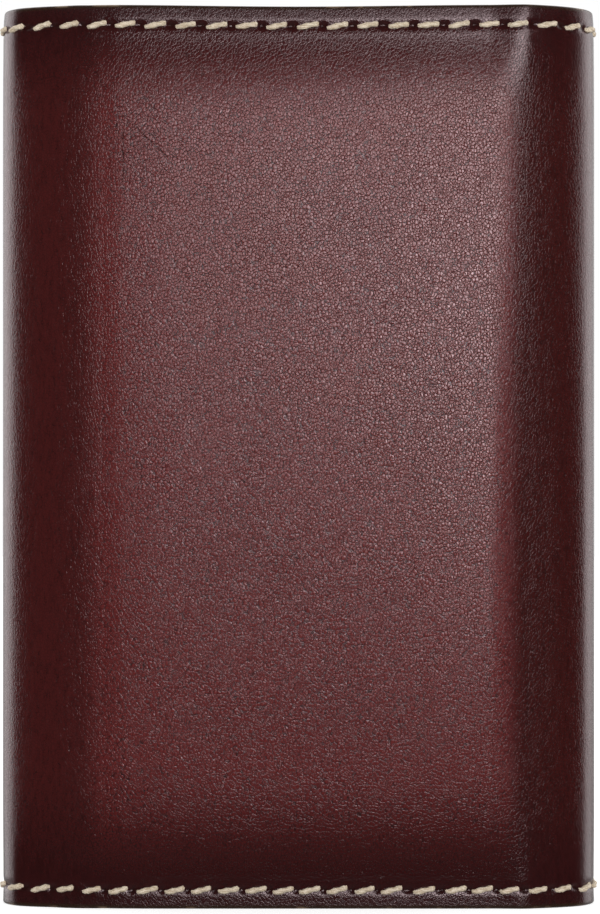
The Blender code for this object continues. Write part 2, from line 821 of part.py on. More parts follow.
def eye_mesh():
    """The hook's eye, a ring about X that goes round the rail's bar."""
    mesh = bmesh.new()
    ring = []
    for k in range(EYE_SIDES):
        angle = 2 * math.pi * k / EYE_SIDES
        ring.append(
            mesh.verts.new(
                (EYE_WIRE_RADIUS * math.sin(angle), EYE_RADIUS + EYE_WIRE_RADIUS * math.cos(angle), 0.0)
            )
        )
    edges = [mesh.edges.new((a, b)) for a, b in zip(ring, ring[1:] + ring[:1])]
    bmesh.ops.spin(
        mesh,
        geom=ring + edges,
        cent=(0.0, 0.0, 0.0),
        axis=(1.0, 0.0, 0.0),
        angle=2 * math.pi,
        steps=EYE_STEPS,
        use_merge=True,
    )
    bmesh.ops.remove_doubles(mesh, verts=mesh.verts[:], dist=SAME_POINT)
    bmesh.ops.recalc_face_normals(mesh, faces=mesh.faces[:])
    data = bpy.data.meshes.new("eye")
    mesh.to_mesh(data)
    mesh.free()
    return data


def hook_mesh():
    """The wire and its eye joined into one mesh."""
    wire = bpy.data.objects.new("wire_guide", wire_mesh("wire_guide", hook_path(), HOOK_WIRE_RADIUS))
    eye = bpy.data.objects.new("eye_guide", eye_mesh())
    for guide in (wire, eye):
        bpy.context.scene.collection.objects.link(guide)
    weld = wire.modifiers.new("weld", "WELD")
    weld.merge_threshold = SAME_POINT
    union = wire.modifiers.new("join", "BOOLEAN")
    union.operation = "UNION"
    union.object = eye
    bpy.context.view_layer.update()
    graph = bpy.context.evaluated_depsgraph_get()
    data = bpy.data.meshes.new_from_object(wire.evaluated_get(graph))
    bpy.data.objects.remove(wire)
    bpy.data.objects.remove(eye)
    data.shade_smooth()
    data.set_sharp_from_angle(angle=math.radians(50))
    return data


def gate_root():
    """The gate's pivot, seen from the hook's: in (x, z), just under the stub's end."""
    stub_end = -HOOK_ARCH_DROP - HOOK_STUB_LENGTH
    return HOOK_HALF_WIDTH, stub_end - GATE_GAP - GATE_THICK / 2


def gate_mesh():
    """The spring gate about its root: a foot under the stub and a leaf down to behind the tip."""
    root_x, root_z = gate_root()
    outer = HOOK_HALF_WIDTH - HOOK_WIRE_RADIUS - GATE_GAP - root_x
    inner = outer - GATE_THICK
    foot = HOOK_WIRE_RADIUS * GATE_FOOT_SHARE
    top = GATE_THICK / 2
    tip = -HOOK_TIP_DROP - GATE_TIP_OVERLAP - root_z
    profile = [(inner, top), (inner, tip), (outer, tip), (outer, -top), (foot, -top), (foot, top)]
    mesh = bmesh.new()
    side = mesh.faces.new([mesh.verts.new((x, -GATE_WIDTH / 2, z)) for x, z in profile])
    extruded = bmesh.ops.extrude_face_region(mesh, geom=[side])
    moved = [item for item in extruded["geom"] if isinstance(item, bmesh.types.BMVert)]
    bmesh.ops.translate(mesh, verts=moved, vec=(0.0, GATE_WIDTH, 0.0))
    bmesh.ops.recalc_face_normals(mesh, faces=mesh.faces[:])
    data = bpy.data.meshes.new("gate")
    mesh.to_mesh(data)
    mesh.free()
    return data


def hooks():
    """Six hooks on the rail, each with its gate, whose origins lie on their joints' axes."""
    hook_data = hook_mesh()
    hook_data.materials.append(finish("hook", NICKEL))
    gate_data = gate_mesh()
    gate_data.materials.append(finish("gate", SPRING_STEEL))
    root_x, root_z = gate_root()
    for number in range(HOOK_COUNT):
        hook = bpy.data.objects.new(f"key_hook_{number + 1}", hook_data)
        bpy.context.scene.collection.objects.link(hook)
        hook.location = (hook_x(number), PIVOT_Y, PIVOT_Z)
        gate = bpy.data.objects.new(f"hook_gate_{number + 1}", gate_data)
        bpy.context.scene.collection.objects.link(gate)
        gate.parent = hook
        gate.location = (root_x, 0.0, root_z)


# Press stud


def snap_cap():
    """The cap outside the outer flap, with its hollow post through the flap."""
    under_y = OUTER_FACE_Y + GLUE_GAP / 2
    post_end = OUTER_FACE_Y - PANEL_THICK - GLUE_GAP / 2
    rim_top = under_y + CAP_RIM_THICK
    profile = [
        (0.0, under_y),
        (SNAP_POST_BORE, under_y),
        (SNAP_POST_BORE, post_end),
        (SNAP_POST_RADIUS, post_end),
        (SNAP_POST_RADIUS, under_y),
        (CAP_RADIUS, under_y),
    ]
    profile += dome_profile(CAP_RADIUS, rim_top, CAP_RISE - GLUE_GAP / 2 - CAP_RIM_THICK)
    return turned("snap_cap", profile, SNAP_X, SNAP_Z, NICKEL)


def snap_socket():
    """The socket ring on the outer flap's lining, open towards the stud."""
    seat_y = OUTER_FACE_Y - PANEL_THICK - GLUE_GAP
    lip = SOCKET_THICK / 4
    profile = [
        (SOCKET_BORE, seat_y),
        (SOCKET_RADIUS, seat_y),
        (SOCKET_RADIUS, seat_y - SOCKET_THICK + lip),
        (SOCKET_RADIUS - lip, seat_y - SOCKET_THICK),
        (SOCKET_BORE, seat_y - SOCKET_THICK),
    ]
    return turned("snap_socket", profile, SNAP_X, SNAP_Z, NICKEL)


def snap_stud():
    """The stud on the inner flap's leather, with a bulb that clicks into the socket."""
    seat_y = INNER_FACE_Y + GLUE_GAP
    flange_y = seat_y + STUD_FLANGE_THICK
    profile = [
        (0.0, seat_y),
        (STUD_RADIUS, seat_y),
        (STUD_RADIUS, flange_y),
        (STUD_NECK_RADIUS, flange_y),
        (STUD_NECK_RADIUS, flange_y + STUD_RISE / 3),
        (STUD_BULB_RADIUS, flange_y + STUD_RISE / 2),
        (STUD_BULB_RADIUS, flange_y + STUD_RISE * 3 / 4),
        (STUD_NECK_RADIUS, flange_y + STUD_RISE),
        (0.0, flange_y + STUD_RISE),
    ]
    return turned("snap_stud", profile, SNAP_X, SNAP_Z, NICKEL)


def snap_eyelet():
    """The eyelet that comes through the inner flap from its lining and holds the stud."""
    seat_y = INNER_FACE_Y - PANEL_THICK - GLUE_GAP / 2
    post_end = INNER_FACE_Y + GLUE_GAP / 2
    profile = [
        (0.0, seat_y - EYELET_THICK),
        (EYELET_RADIUS, seat_y - EYELET_THICK),
        (EYELET_RADIUS, seat_y),
        (SNAP_POST_RADIUS, seat_y),
        (SNAP_POST_RADIUS, post_end),
        (SNAP_POST_BORE, post_end),
        (SNAP_POST_BORE, seat_y - EYELET_THICK / 2),
        (0.0, seat_y - EYELET_THICK / 2),
    ]
    return turned("snap_eyelet", profile, SNAP_X, SNAP_Z, NICKEL)


def snap_hole(name, face_y):
    return rod_cutter(
        name,
        SNAP_POST_RADIUS + HOLE_CLEARANCE,
        SNAP_X,
        SNAP_Z,
        face_y - PANEL_THICK - CUT_OVERRUN,
        face_y + CUT_OVERRUN,
    )


# Pivots of the two side folds and the two flaps


def bend_pivot(name, bend, parent=None):
    """A pivot just outside the leather where a bend has made half of its turn."""
    middle = on_bend(bend, middle_angle(bend))
    x = middle.x + middle.nx * PIVOT_CLEARANCE
    y = middle.y + middle.ny * PIVOT_CLEARANCE
    return pivot_at(name, x, y, CASE_HEIGHT / 2, parent)


def main():
    clear_scene()
    _, centre_inside = centre_panel()
    riveted_plate(centre_inside)
    hooks()

    outer_fold_pivot = bend_pivot("outer_fold_pivot", RIGHT_FRONT)
    outer_flap_pivot = bend_pivot("outer_flap_pivot", RIGHT_BACK, outer_fold_pivot)
    inner_fold_pivot = bend_pivot("inner_fold_pivot", LEFT_FRONT)
    inner_flap_pivot = bend_pivot("inner_flap_pivot", LEFT_BACK, inner_fold_pivot)

    hang_on(outer_fold_pivot, *fold("outer_fold", (RIGHT_FRONT, RIGHT_BACK)))
    outer = flap("outer_flap", RIGHT_BACK, OUTER_FLAP_END)
    outer_hole = snap_hole("outer_snap_cutter", OUTER_FACE_Y)
    for layer in outer[:3]:
        cut(layer, outer_hole)
    hang_on(outer_flap_pivot, *outer, slip_pocket(), snap_cap(), snap_socket())

    hang_on(inner_fold_pivot, *fold("inner_fold", (LEFT_FRONT, LEFT_BACK)))
    inner = flap("inner_flap", LEFT_BACK, INNER_FLAP_END)
    inner_hole = snap_hole("inner_snap_cutter", INNER_FACE_Y)
    for layer in inner[:3]:
        cut(layer, inner_hole)
    hang_on(inner_flap_pivot, *inner, snap_stud(), snap_eyelet())


main()
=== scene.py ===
# %% [markdown]
# # A leather key case with six hooks
# This lesson dresses a finished CAD model of a folded leather key case. The CAD model gives every
# piece its size and place, and tells which pieces turn on which hinge. Here each soft piece gets the
# form, the stitches and the grain that real leather has, and each metal piece gets rounded edges.

# %% Load the model
import math
import random
from collections import namedtuple

import bmesh
import bpy
import numpy as np
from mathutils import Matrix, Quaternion, Vector


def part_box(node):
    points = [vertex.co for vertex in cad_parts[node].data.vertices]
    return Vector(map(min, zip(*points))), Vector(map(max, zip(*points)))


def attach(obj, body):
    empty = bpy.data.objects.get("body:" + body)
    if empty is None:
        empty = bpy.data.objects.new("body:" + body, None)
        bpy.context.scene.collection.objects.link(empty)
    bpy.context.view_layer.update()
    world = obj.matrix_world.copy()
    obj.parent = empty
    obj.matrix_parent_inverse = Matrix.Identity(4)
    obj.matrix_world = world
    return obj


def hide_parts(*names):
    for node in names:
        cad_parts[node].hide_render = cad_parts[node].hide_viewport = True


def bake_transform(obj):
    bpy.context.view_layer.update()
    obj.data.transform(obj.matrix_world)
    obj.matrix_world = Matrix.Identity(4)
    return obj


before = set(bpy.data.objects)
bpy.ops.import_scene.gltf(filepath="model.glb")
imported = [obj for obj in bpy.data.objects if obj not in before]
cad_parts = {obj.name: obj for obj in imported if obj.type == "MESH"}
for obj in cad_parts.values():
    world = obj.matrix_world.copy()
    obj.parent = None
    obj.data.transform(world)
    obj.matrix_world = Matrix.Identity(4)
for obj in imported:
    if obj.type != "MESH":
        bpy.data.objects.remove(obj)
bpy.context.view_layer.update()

# %% [markdown]
# ## Sizes
# All lengths are in metres, as in the CAD model, so one millimetre is 0.001. The case stands on its
# lower edge with the plain face looking along -Y.

# %% Sizes of the case
MM = 0.001
HEIGHT = 105.0 * MM
LEATHER = 1.2 * MM
LINING = 0.7 * MM
LINING_DEPTH = 2.1 * MM  # from the leather's outer face to the lining, with a board between them
BOARD_SPACE = 0.65 * MM  # how much less that is in the side folds, which have no board
FRONT_Y = -9.6 * MM  # the plain face, and then the outer faces of the wide and the narrow flap
OUTER_Y = 8.4 * MM
INNER_Y = 3.4 * MM
SEAM = 2.35 * MM  # from a cut edge to its row of stitches
print(f"{HEIGHT / MM:.0f} mm high and {(OUTER_Y - FRONT_Y) / MM:.0f} mm deep when it is shut")

# %% [markdown]
# ## Small helpers for node trees
# Materials and Geometry Nodes are both trees of nodes. Two helpers keep the scripts that build them
# short: one plugs a value or another node's output into a socket, the other adds a node by its kind.

# %% Node helpers
def plug(tree, socket, value):
    """Links another node's output to the socket, or sets the socket's own value."""
    if isinstance(value, bpy.types.NodeSocket):
        tree.links.new(value, socket)
    else:
        socket.default_value = value


def add(tree, kind, settings=None, **sockets):
    """A new node with its settings and its sockets, where a_b stands for the socket "A B"."""
    node = tree.nodes.new(kind)
    for name, value in (settings or {}).items():
        setattr(node, name, value)
    for name, value in sockets.items():
        plug(tree, node.inputs[name.replace("_", " ")], value)
    return node


def calc(tree, operation, *values, clamp=False):
    """One step of arithmetic on numbers."""
    node = add(tree, "ShaderNodeMath", {"operation": operation, "use_clamp": clamp})
    for socket, value in zip(node.inputs, values):
        plug(tree, socket, value)
    return node.outputs[0]


def vector(tree, operation, *values, out=0):
    """One step of arithmetic on vectors."""
    node = add(tree, "ShaderNodeVectorMath", {"operation": operation})
    for socket, value in zip(node.inputs, values):
        plug(tree, socket, value)
    return node.outputs[out]


def scaled(tree, source, factor):
    """A vector times a number."""
    node = add(tree, "ShaderNodeVectorMath", {"operation": "SCALE"}, Scale=factor)
    plug(tree, node.inputs[0], source)
    return node.outputs[0]


def split(tree, source):
    """The three numbers of a vector."""
    return add(tree, "ShaderNodeSeparateXYZ", Vector=source).outputs


def join(tree, x, y, z):
    """A vector from three numbers."""
    return add(tree, "ShaderNodeCombineXYZ", X=x, Y=y, Z=z).outputs[0]


def fade(tree, value, low, high, start=0.0, end=1.0):
    """Start up to low, end from high, and a smooth change in between."""
    node = add(tree, "ShaderNodeMapRange", {"interpolation_type": "SMOOTHSTEP"})
    for socket, number in zip(node.inputs, (value, low, high, start, end)):
        plug(tree, socket, number)
    return node.outputs[0]


# %% [markdown]
# ## The folded outline
# The outer leather of the real case is one long strip. Seen from above it runs from the free edge of
# the narrow inner flap, round the left side, across the plain face, round the right side and back
# over the wide outer flap. We draw that line once, from straight runs and quarter ellipses, and every
# leather piece and every stitch is then laid out flat and wrapped round it, just as leather is cut
# flat and then folded.

# %% Points of the outline
SIDE_X = 34.9 * MM
INNER_END = (-2.0 * MM, INNER_Y)  # the free edge of the narrow flap
INNER_FLAT = (-28.9 * MM, INNER_Y)
LEFT_BACK = (-SIDE_X, -1.262 * MM)  # the left side is straight for a short way between two bends
LEFT_FRONT = (-SIDE_X, -1.662 * MM)
FACE_LEFT = (-20.2 * MM, FRONT_Y)
FACE_RIGHT = (22.2 * MM, FRONT_Y)
RIGHT_FRONT = (SIDE_X, -1.65 * MM)
RIGHT_BACK = (SIDE_X, 1.35 * MM)
OUTER_FLAT = (25.9 * MM, OUTER_Y)
OUTER_END = (-27.0 * MM, OUTER_Y)  # the free edge of the wide flap
print(f"{2 * SIDE_X / MM:.1f} mm from side to side")

# %% [markdown]
# Between two of these points the outline is either a straight run or a quarter of an ellipse. Both
# become many short steps of equal length.

# %% Draw the outline
STEP = 0.1 * MM


def straight(start, end):
    count = max(2, round(math.dist(start, end) / STEP))
    return [tuple(a + (b - a) * k / count for a, b in zip(start, end)) for k in range(count)]


def quarter(flat, side, start):
    """A quarter ellipse between a flat panel and a side, from a start angle, against the clock."""
    reach, sink = abs(side[0] - flat[0]), abs(side[1] - flat[1])
    count = round(math.pi / 4 * (reach + sink) / STEP)
    angles = [math.radians(start + 90 * k / count) for k in range(count)]
    return [(flat[0] + reach * math.cos(angle), side[1] + sink * math.sin(angle)) for angle in angles]


outline = (
    straight(INNER_END, INNER_FLAT)
    + quarter(INNER_FLAT, LEFT_BACK, 90)
    + straight(LEFT_BACK, LEFT_FRONT)
    + quarter(FACE_LEFT, LEFT_FRONT, 180)
    + straight(FACE_LEFT, FACE_RIGHT)
    + quarter(FACE_RIGHT, RIGHT_FRONT, 270)
    + straight(RIGHT_FRONT, RIGHT_BACK)
    + quarter(OUTER_FLAT, RIGHT_BACK, 0)
    + straight(OUTER_FLAT, OUTER_END)
    + [OUTER_END]
)
line = np.array(outline)
runs = np.diff(line, axis=0)
along = np.concatenate([[0.0], np.cumsum(np.hypot(*runs.T))])
STRIP_LENGTH = float(along[-1])
print(f"{len(line)} points, and the strip is {STRIP_LENGTH / MM:.1f} mm long")

# %% [markdown]
# Two things are read off the outline again and again: how far along the strip a place is, and how
# much the strip is bent there. The outline itself becomes a curve for Geometry Nodes to follow.

# %% Measure the outline and make its curve
FULL_BEND = 14  # degrees of slope from which the strip counts as bent


def s_at(x, y):
    """How far along the strip the outline passes closest to a point."""
    return float(along[np.argmin(np.hypot(line[:, 0] - x, line[:, 1] - y))])


def ease(value):
    """A soft step from 0 to 1."""
    value = np.clip(value, 0.0, 1.0)
    return value * value * (3 - 2 * value)


def new_object(name, data):
    piece = bpy.data.objects.new(name, data)
    bpy.context.scene.collection.objects.link(piece)
    return piece


slope = np.degrees(np.arctan2(np.abs(runs[:, 1]), np.abs(runs[:, 0])))
slope = np.append(slope, slope[-1])
bent = ease(slope / FULL_BEND)  # 0 on the flat panels and 1 in the side folds

path_data = bpy.data.curves.new("folded_outline", "CURVE")
path_data.dimensions = "3D"
spline = path_data.splines.new("POLY")
spline.points.add(len(outline) - 1)
spline.points.foreach_set("co", np.column_stack([line, np.zeros(len(line)), np.ones(len(line))]).ravel())
path = new_object("folded_outline", path_data)
print(f"{(bent > 0.5).mean():.0%} of the strip is bent")

# %% [markdown]
# ## Wrapping with Geometry Nodes
# The wrap tree takes any flat mesh whose X is the way along the strip, Y the height and Z the lift
# above the leather, and bends it round the outline. Sample Curve finds the point and the direction
# of the outline at that length, and the lift goes along the outward normal. A Curve modifier could
# bend the mesh too, but it would lose the flat coordinates. The tree stores them first, under the
# name "strip": the grain reads them, so it never stretches or slides.

# %% The wrap tree
def group_input(tree, name, kind):
    return tree.interface.new_socket(name=name, in_out="INPUT", socket_type="NodeSocket" + kind)


def new_tree(name, *inputs):
    """An empty geometry tree with a Geometry input, the named inputs and a Geometry output."""
    tree = bpy.data.node_groups.new(name, "GeometryNodeTree")
    group_input(tree, "Geometry", "Geometry")
    for input_name, kind in inputs:
        group_input(tree, input_name, kind)
    tree.interface.new_socket(name="Geometry", in_out="OUTPUT", socket_type="NodeSocketGeometry")
    start = tree.nodes.new("NodeGroupInput").outputs
    end = tree.nodes.new("NodeGroupOutput").inputs
    return tree, start, end


wrap_tree, start, end = new_tree("wrap_round_outline", ("Path", "Object"))
flat_place = wrap_tree.nodes.new("GeometryNodeInputPosition").outputs[0]
stored = add(wrap_tree, "GeometryNodeStoreNamedAttribute", {"data_type": "FLOAT_VECTOR", "domain": "POINT"},
             Geometry=start["Geometry"], Name="strip", Value=flat_place)
path_info = add(wrap_tree, "GeometryNodeObjectInfo", Object=start["Path"])
length, height, lift = split(wrap_tree, flat_place)
sample = add(wrap_tree, "GeometryNodeSampleCurve", {"mode": "LENGTH"},
             Curves=path_info.outputs["Geometry"], Length=length)
outward = vector(wrap_tree, "CROSS_PRODUCT", sample.outputs["Tangent"], (0.0, 0.0, 1.0))
on_path = vector(wrap_tree, "ADD", sample.outputs["Position"], join(wrap_tree, 0.0, 0.0, height))
place = vector(wrap_tree, "ADD", on_path, scaled(wrap_tree, vector(wrap_tree, "NORMALIZE", outward), lift))
moved = add(wrap_tree, "GeometryNodeSetPosition", Geometry=stored.outputs[0], Position=place)
plug(wrap_tree, end["Geometry"], moved.outputs[0])
print("wrap tree:", len(wrap_tree.nodes), "nodes")

# %% [markdown]
# A modifier's inputs are set by each socket's identifier. After that the evaluated result becomes a
# plain mesh, and the modifier and its flat source are gone, so later steps see ordinary objects.

# %% From a tree to a plain mesh
def made_by(tree, source, name, **inputs):
    """Runs a geometry tree on a flat mesh and returns the result as a plain object."""
    guide = new_object(name + "_guide", source)
    modifier = guide.modifiers.new("made", "NODES")
    modifier.node_group = tree
    for item in tree.interface.items_tree:
        if item.in_out == "INPUT" and item.name.replace(" ", "_") in inputs:
            modifier[item.identifier] = inputs[item.name.replace(" ", "_")]
    bpy.context.view_layer.update()
    graph = bpy.context.evaluated_depsgraph_get()
    data = bpy.data.meshes.new_from_object(guide.evaluated_get(graph))
    data.name = name
    bpy.data.objects.remove(guide)
    return new_object(name, data)


# %% [markdown]
# ## Where the stitches go
# The case is sewn in lockstitch with thick waxed thread, close to the top and bottom edges and round
# the free edges of the two flaps. We count the stitches first, because each needle hole also dents
# the leather. The machine's feed was a little longer at the top than at the bottom, and at the
# bottom a little longer round the folds than on the face.

# %% Rules for a row of stitches
TOP_PITCH = 3.52 * MM
BOTTOM_PITCH = 3.15 * MM
FOLD_FEED = 0.25 * MM  # by how much the bottom pitch grows round the folds
FRONT_MIDDLE = s_at(0.0, FRONT_Y)


def even(pitch):
    return lambda s: pitch


def wider_round_folds(s):
    """The pitch of the bottom row at a place."""
    past_face = (abs(s - FRONT_MIDDLE - 2 * MM) - 17 * MM) / (3 * MM)
    return BOTTOM_PITCH + FOLD_FEED * float(ease(past_face))


def row(first, low, high, pitch_at):
    """The middles of the stitches of one row, counted both ways from a first one."""
    middles, place = [], first
    while place > low:
        middles.insert(0, place)
        place -= pitch_at(place)
    place = first + pitch_at(first)
    while place < high:
        middles.append(place)
        place += pitch_at(place)
    return middles


print(f"the middle of the plain face is {FRONT_MIDDLE / MM:.1f} mm along the strip")

# %% [markdown]
# A stitch shows a little less than its pitch, lies slightly askew, and no two are quite alike. The
# sewer locked the lower row with two long stitches right of the middle.

# %% Lay out the stitches
Stitch = namedtuple("Stitch", "s z slant long upright")
TOP_START = FRONT_MIDDLE + 1.05 * MM
BOTTOM_START = FRONT_MIDDLE + 1.35 * MM
BOTTOM_ROW_Z = 2.17 * MM
TOP_LONG, BOTTOM_LONG, LOCK_LONG = 0.70 * TOP_PITCH, 0.76 * BOTTOM_PITCH, 2.5 * MM
LOCK_STITCHES = [FRONT_MIDDLE + 10.8 * MM, FRONT_MIDDLE + 14.55 * MM]
AFTER_LOCK = FRONT_MIDDLE + 18.25 * MM
SLANT = math.radians(11)
UNEVEN = 0.05  # of the slant in radians, and of the length as a share
rng = random.Random(11)


def wobble(size):
    return rng.uniform(-size, size)


def lying(s, z, long):
    """A stitch of the top or bottom row, a little uneven in each of its measures."""
    s, z = s + wobble(0.06 * MM), z + wobble(0.05 * MM)
    return Stitch(s, z, SLANT + wobble(UNEVEN), long * (1 + wobble(UNEVEN)), False)


far_seam = STRIP_LENGTH - SEAM
stitches = [lying(s, HEIGHT - SEAM, TOP_LONG) for s in row(TOP_START, SEAM, far_seam, even(TOP_PITCH))]
bottom_middles = row(BOTTOM_START, SEAM, LOCK_STITCHES[0] - 2 * MM, wider_round_folds)
bottom_middles += row(AFTER_LOCK, AFTER_LOCK - MM, far_seam, wider_round_folds)
stitches += [lying(s, BOTTOM_ROW_Z, BOTTOM_LONG) for s in bottom_middles]
stitches += [lying(s, BOTTOM_ROW_Z, LOCK_LONG) for s in LOCK_STITCHES]
for s in (SEAM, far_seam):
    for z in row(SEAM + 2 * MM, SEAM + MM, HEIGHT - SEAM - MM, even(TOP_PITCH)):
        stitches.append(Stitch(s, z, math.pi / 2 + SLANT + wobble(UNEVEN), TOP_LONG, True))
print("stitches:", len(stitches))

# %% [markdown]
# ## Flat sheets
# Leather and lining are both closed sheets: a grid of points on the outer face, the same grid on the
# inner face, and a wall round the edge. A plane with a Solidify modifier would give both faces the
# same form. Here each face has its own, so we place the points ourselves. The rows lie closer
# together near the sewn edges, where the leather is pressed down and the needle holes are.

# %% Build a flat sheet
def spaced(*runs):
    """Values along one direction: each run is (start, end, step)."""
    values = []
    for low, high, step in runs:
        count = max(1, math.ceil(abs(high - low) / step - 1e-6))
        values += [low + (high - low) * k / count for k in range(count)]
    return values + [runs[-1][1]]


EDGE_ROWS = [d * MM for d in (0.0, 0.04, 0.1, 0.19, 0.3)]  # close enough to round a cut edge
EDGE_BAND = 0.5 * MM  # behind which the rows are evenly spaced
SEAM_ROWS = EDGE_ROWS + spaced((EDGE_BAND, 4.0 * MM, 0.2 * MM), (4 * MM, 11 * MM, 0.5 * MM))
MIDDLE_ROWS = spaced((12 * MM, HEIGHT - 12 * MM, 1.0 * MM))
HEIGHT_ROWS = SEAM_ROWS + MIDDLE_ROWS + [HEIGHT - d for d in reversed(SEAM_ROWS)]


def flat_sheet(name, columns, rows, outer_lift, inner_lift, bend_edge_hole_at):
    """A closed flat mesh between two lifts, and what its colour reads at each point: three functions of the
    arrays s and z.
    """
    s, z = np.meshgrid(np.array(columns), np.array(rows), indexing="ij")
    outer = np.stack([s, z, outer_lift(s, z)], axis=-1).reshape(-1, 3)
    inner = np.stack([s, z, inner_lift(s, z)], axis=-1).reshape(-1, 3)
    count_s, count_z = s.shape
    index = np.arange(count_s * count_z).reshape(count_s, count_z)
    a, b, c, d = index[:-1, :-1], index[1:, :-1], index[1:, 1:], index[:-1, 1:]
    front = np.stack([a, b, c, d], axis=-1).reshape(-1, 4)
    back = np.stack([d, c, b, a], axis=-1).reshape(-1, 4) + index.size
    border = np.concatenate([index[:, 0], index[-1, 1:], index[-2::-1, -1], index[0, -2:0:-1]])
    following = np.roll(border, -1)
    wall = np.stack([following, border, border + index.size, following + index.size], axis=-1)
    mesh = bpy.data.meshes.new(name)
    points, faces = np.concatenate([outer, inner]), np.concatenate([front, back, wall])
    mesh.from_pydata(points.tolist(), [], faces.tolist())
    mesh.shade_smooth()
    values = bend_edge_hole_at(s, z).reshape(-1, 3)
    layer = mesh.attributes.new("wear", "FLOAT_VECTOR", "POINT")
    layer.data.foreach_set("vector", np.concatenate([values, values]).astype(np.float32).ravel())
    mesh.update()
    return mesh


print(len(HEIGHT_ROWS), "rows of points from the lower edge to the upper one")

# %% [markdown]
# ## The relief of the leather
# Over the boards the leather stands at its full height. Near a sewn edge it is pressed down to the
# lining, with a shallow valley where the thread pulls it in and a dent at each needle hole. These
# forms could be sculpted, but as formulas they can be measured and changed. We start with the plain
# ones: rounded cut edges, the sag of the upper edge, and a few long, low waves, which keep the
# panels from looking like sheet metal.

# %% Waves, cut edges and the sagging upper edge
EDGE_RADIUS = 0.3 * MM
TOP_DIP = 0.25 * MM
WAVE_HEIGHT = 0.012 * MM
waves = []
for _ in range(9):
    waves.append((rng.uniform(0.25, 0.9) / MM * 0.2, rng.uniform(-0.12, 0.12) / MM,
                  rng.uniform(0, math.tau), rng.uniform(0.3, 1.0)))


def low_waves(s, z):
    return WAVE_HEIGHT * sum(size * np.sin(u * s + v * z + phase) for u, v, phase, size in waves)


def fillet(distance):
    """The drop of a rounded cut edge."""
    inside = np.clip(EDGE_RADIUS - distance, 0.0, EDGE_RADIUS)
    return EDGE_RADIUS - np.sqrt(np.maximum(EDGE_RADIUS**2 - inside**2, 0.0))


def top_dip(s, z):
    """The upper edge of the plain face sags a little between the folds."""
    middle = np.exp(-(((s - FRONT_MIDDLE) / (16 * MM)) ** 2))
    return TOP_DIP * middle * ease((z - HEIGHT + 12 * MM) / (12 * MM))


def edge_distance(s, z, free_edges):
    """How far a point of the strip is from the nearest sewn edge."""
    distance = np.minimum(z, HEIGHT - z)
    for free_edge in free_edges:
        distance = np.minimum(distance, np.abs(s - free_edge))
    return distance


print(len(waves), "low waves")

# %% [markdown]
# The thread goes down a little beyond both ends of what shows of a stitch. There the needle has left
# a hole, and the pulled thread a dent round it.

# %% Needle holes
HOLE_DEPTH = 0.24 * MM
HOLE_WIDTH = 0.22 * MM
HOLE_REACH = 0.66  # from the middle of a stitch, as a share of its length


def needle_holes():
    """Both ends of every stitch, as an array of (s, z): neighbours share a hole."""
    ends = []
    for stitch in stitches:
        for reach in (-HOLE_REACH * stitch.long, HOLE_REACH * stitch.long):
            ends.append((stitch.s, stitch.z + reach) if stitch.upright else (stitch.s + reach, stitch.z))
    return np.array(ends)


HOLES = needle_holes()


def hole_field(s, z):
    """1 in the middle of a needle hole, falling to 0 round it."""
    field = np.zeros_like(s)
    for hole_s, hole_z in HOLES:
        if hole_s < s.min() - MM or hole_s > s.max() + MM:
            continue
        near = (np.abs(s - hole_s) < 4 * HOLE_WIDTH) & (np.abs(z - hole_z) < 4 * HOLE_WIDTH)
        distance = (s[near] - hole_s) ** 2 + (z[near] - hole_z) ** 2
        field[near] = np.maximum(field[near], np.exp(-distance / (2 * HOLE_WIDTH**2)))
    return field


print("needle holes:", len(HOLES))

# %% [markdown]
# Three things let the leather lie lower than its full height: the press along the seams, the missing
# board near the base, and the give of the plain face beside each fold. All three fade away in the
# folds, but for a last trace of the press.

# %% How far the leather lies down
PRESS = 0.86 * MM
FOLD_PRESS = 0.05 * MM  # what is left of it in the folds
ROLL = 5.5 * MM  # how wide the pressed leather rolls up again
BASE_SAG = 0.4 * MM
BASE_ROLL = 17 * MM
LEFT_FALL = (14.4 * MM, 8.2 * MM)  # how far from the middle the fall starts, and over what width
RIGHT_FALL = (11.5 * MM, 13.5 * MM)
SHOULDER = (21.6 * MM, 5.6 * MM)
FACE_REACH = 40 * MM  # past both folds, so that only the plain face gives way


def tilt_at(s):
    return np.interp(s, along, slope)


def on_panel(s):
    """1 on the flat panels, falling to 0 inside the side folds, sooner in the outer one."""
    return np.where(s > FRONT_MIDDLE, 1 - ease(tilt_at(s) / 15), 1 - ease((tilt_at(s) - 8) / 40))


def seam_press(s, distance):
    """How far the leather is pressed down at a distance from its sewn edge."""
    full = FOLD_PRESS + (PRESS - FOLD_PRESS) * on_panel(s)
    return full * np.exp(-((np.maximum(distance - SEAM, 0.0) / ROLL) ** 2))


def base_sag(s, z):
    """The panels fall away a little towards the bottom, where no board holds them out."""
    return BASE_SAG * on_panel(s) * np.exp(-((z / BASE_ROLL) ** 2))


def side_fall(s, z):
    """Beside each fold the face gives way a little, more in its lower half."""
    across = s - FRONT_MIDDLE
    left = np.clip((-across - LEFT_FALL[0]) / LEFT_FALL[1], 0, 1) ** 2
    right = np.clip((across - RIGHT_FALL[0]) / RIGHT_FALL[1], 0, 1.3) ** 2
    shoulder = ease((across - SHOULDER[0]) / SHOULDER[1])
    lower = ease((85 * MM - z) / (45 * MM))
    held = 1 - ease((tilt_at(s) - FULL_BEND) / 40)
    fall = left * (0.15 + 0.13 * lower) * on_panel(s) + (right * 0.14 + shoulder * 0.48 * lower) * held
    return fall * MM * (np.abs(across) < FACE_REACH)


def sunk(s, z, distance):
    """All that the leather lies below its full height, but for valleys and holes."""
    return seam_press(s, distance) + base_sag(s, z) + side_fall(s, z)


print(f"at the stitches the leather lies {float(sunk(FRONT_MIDDLE, HEIGHT / 2, SEAM)) / MM:.2f} mm lower")

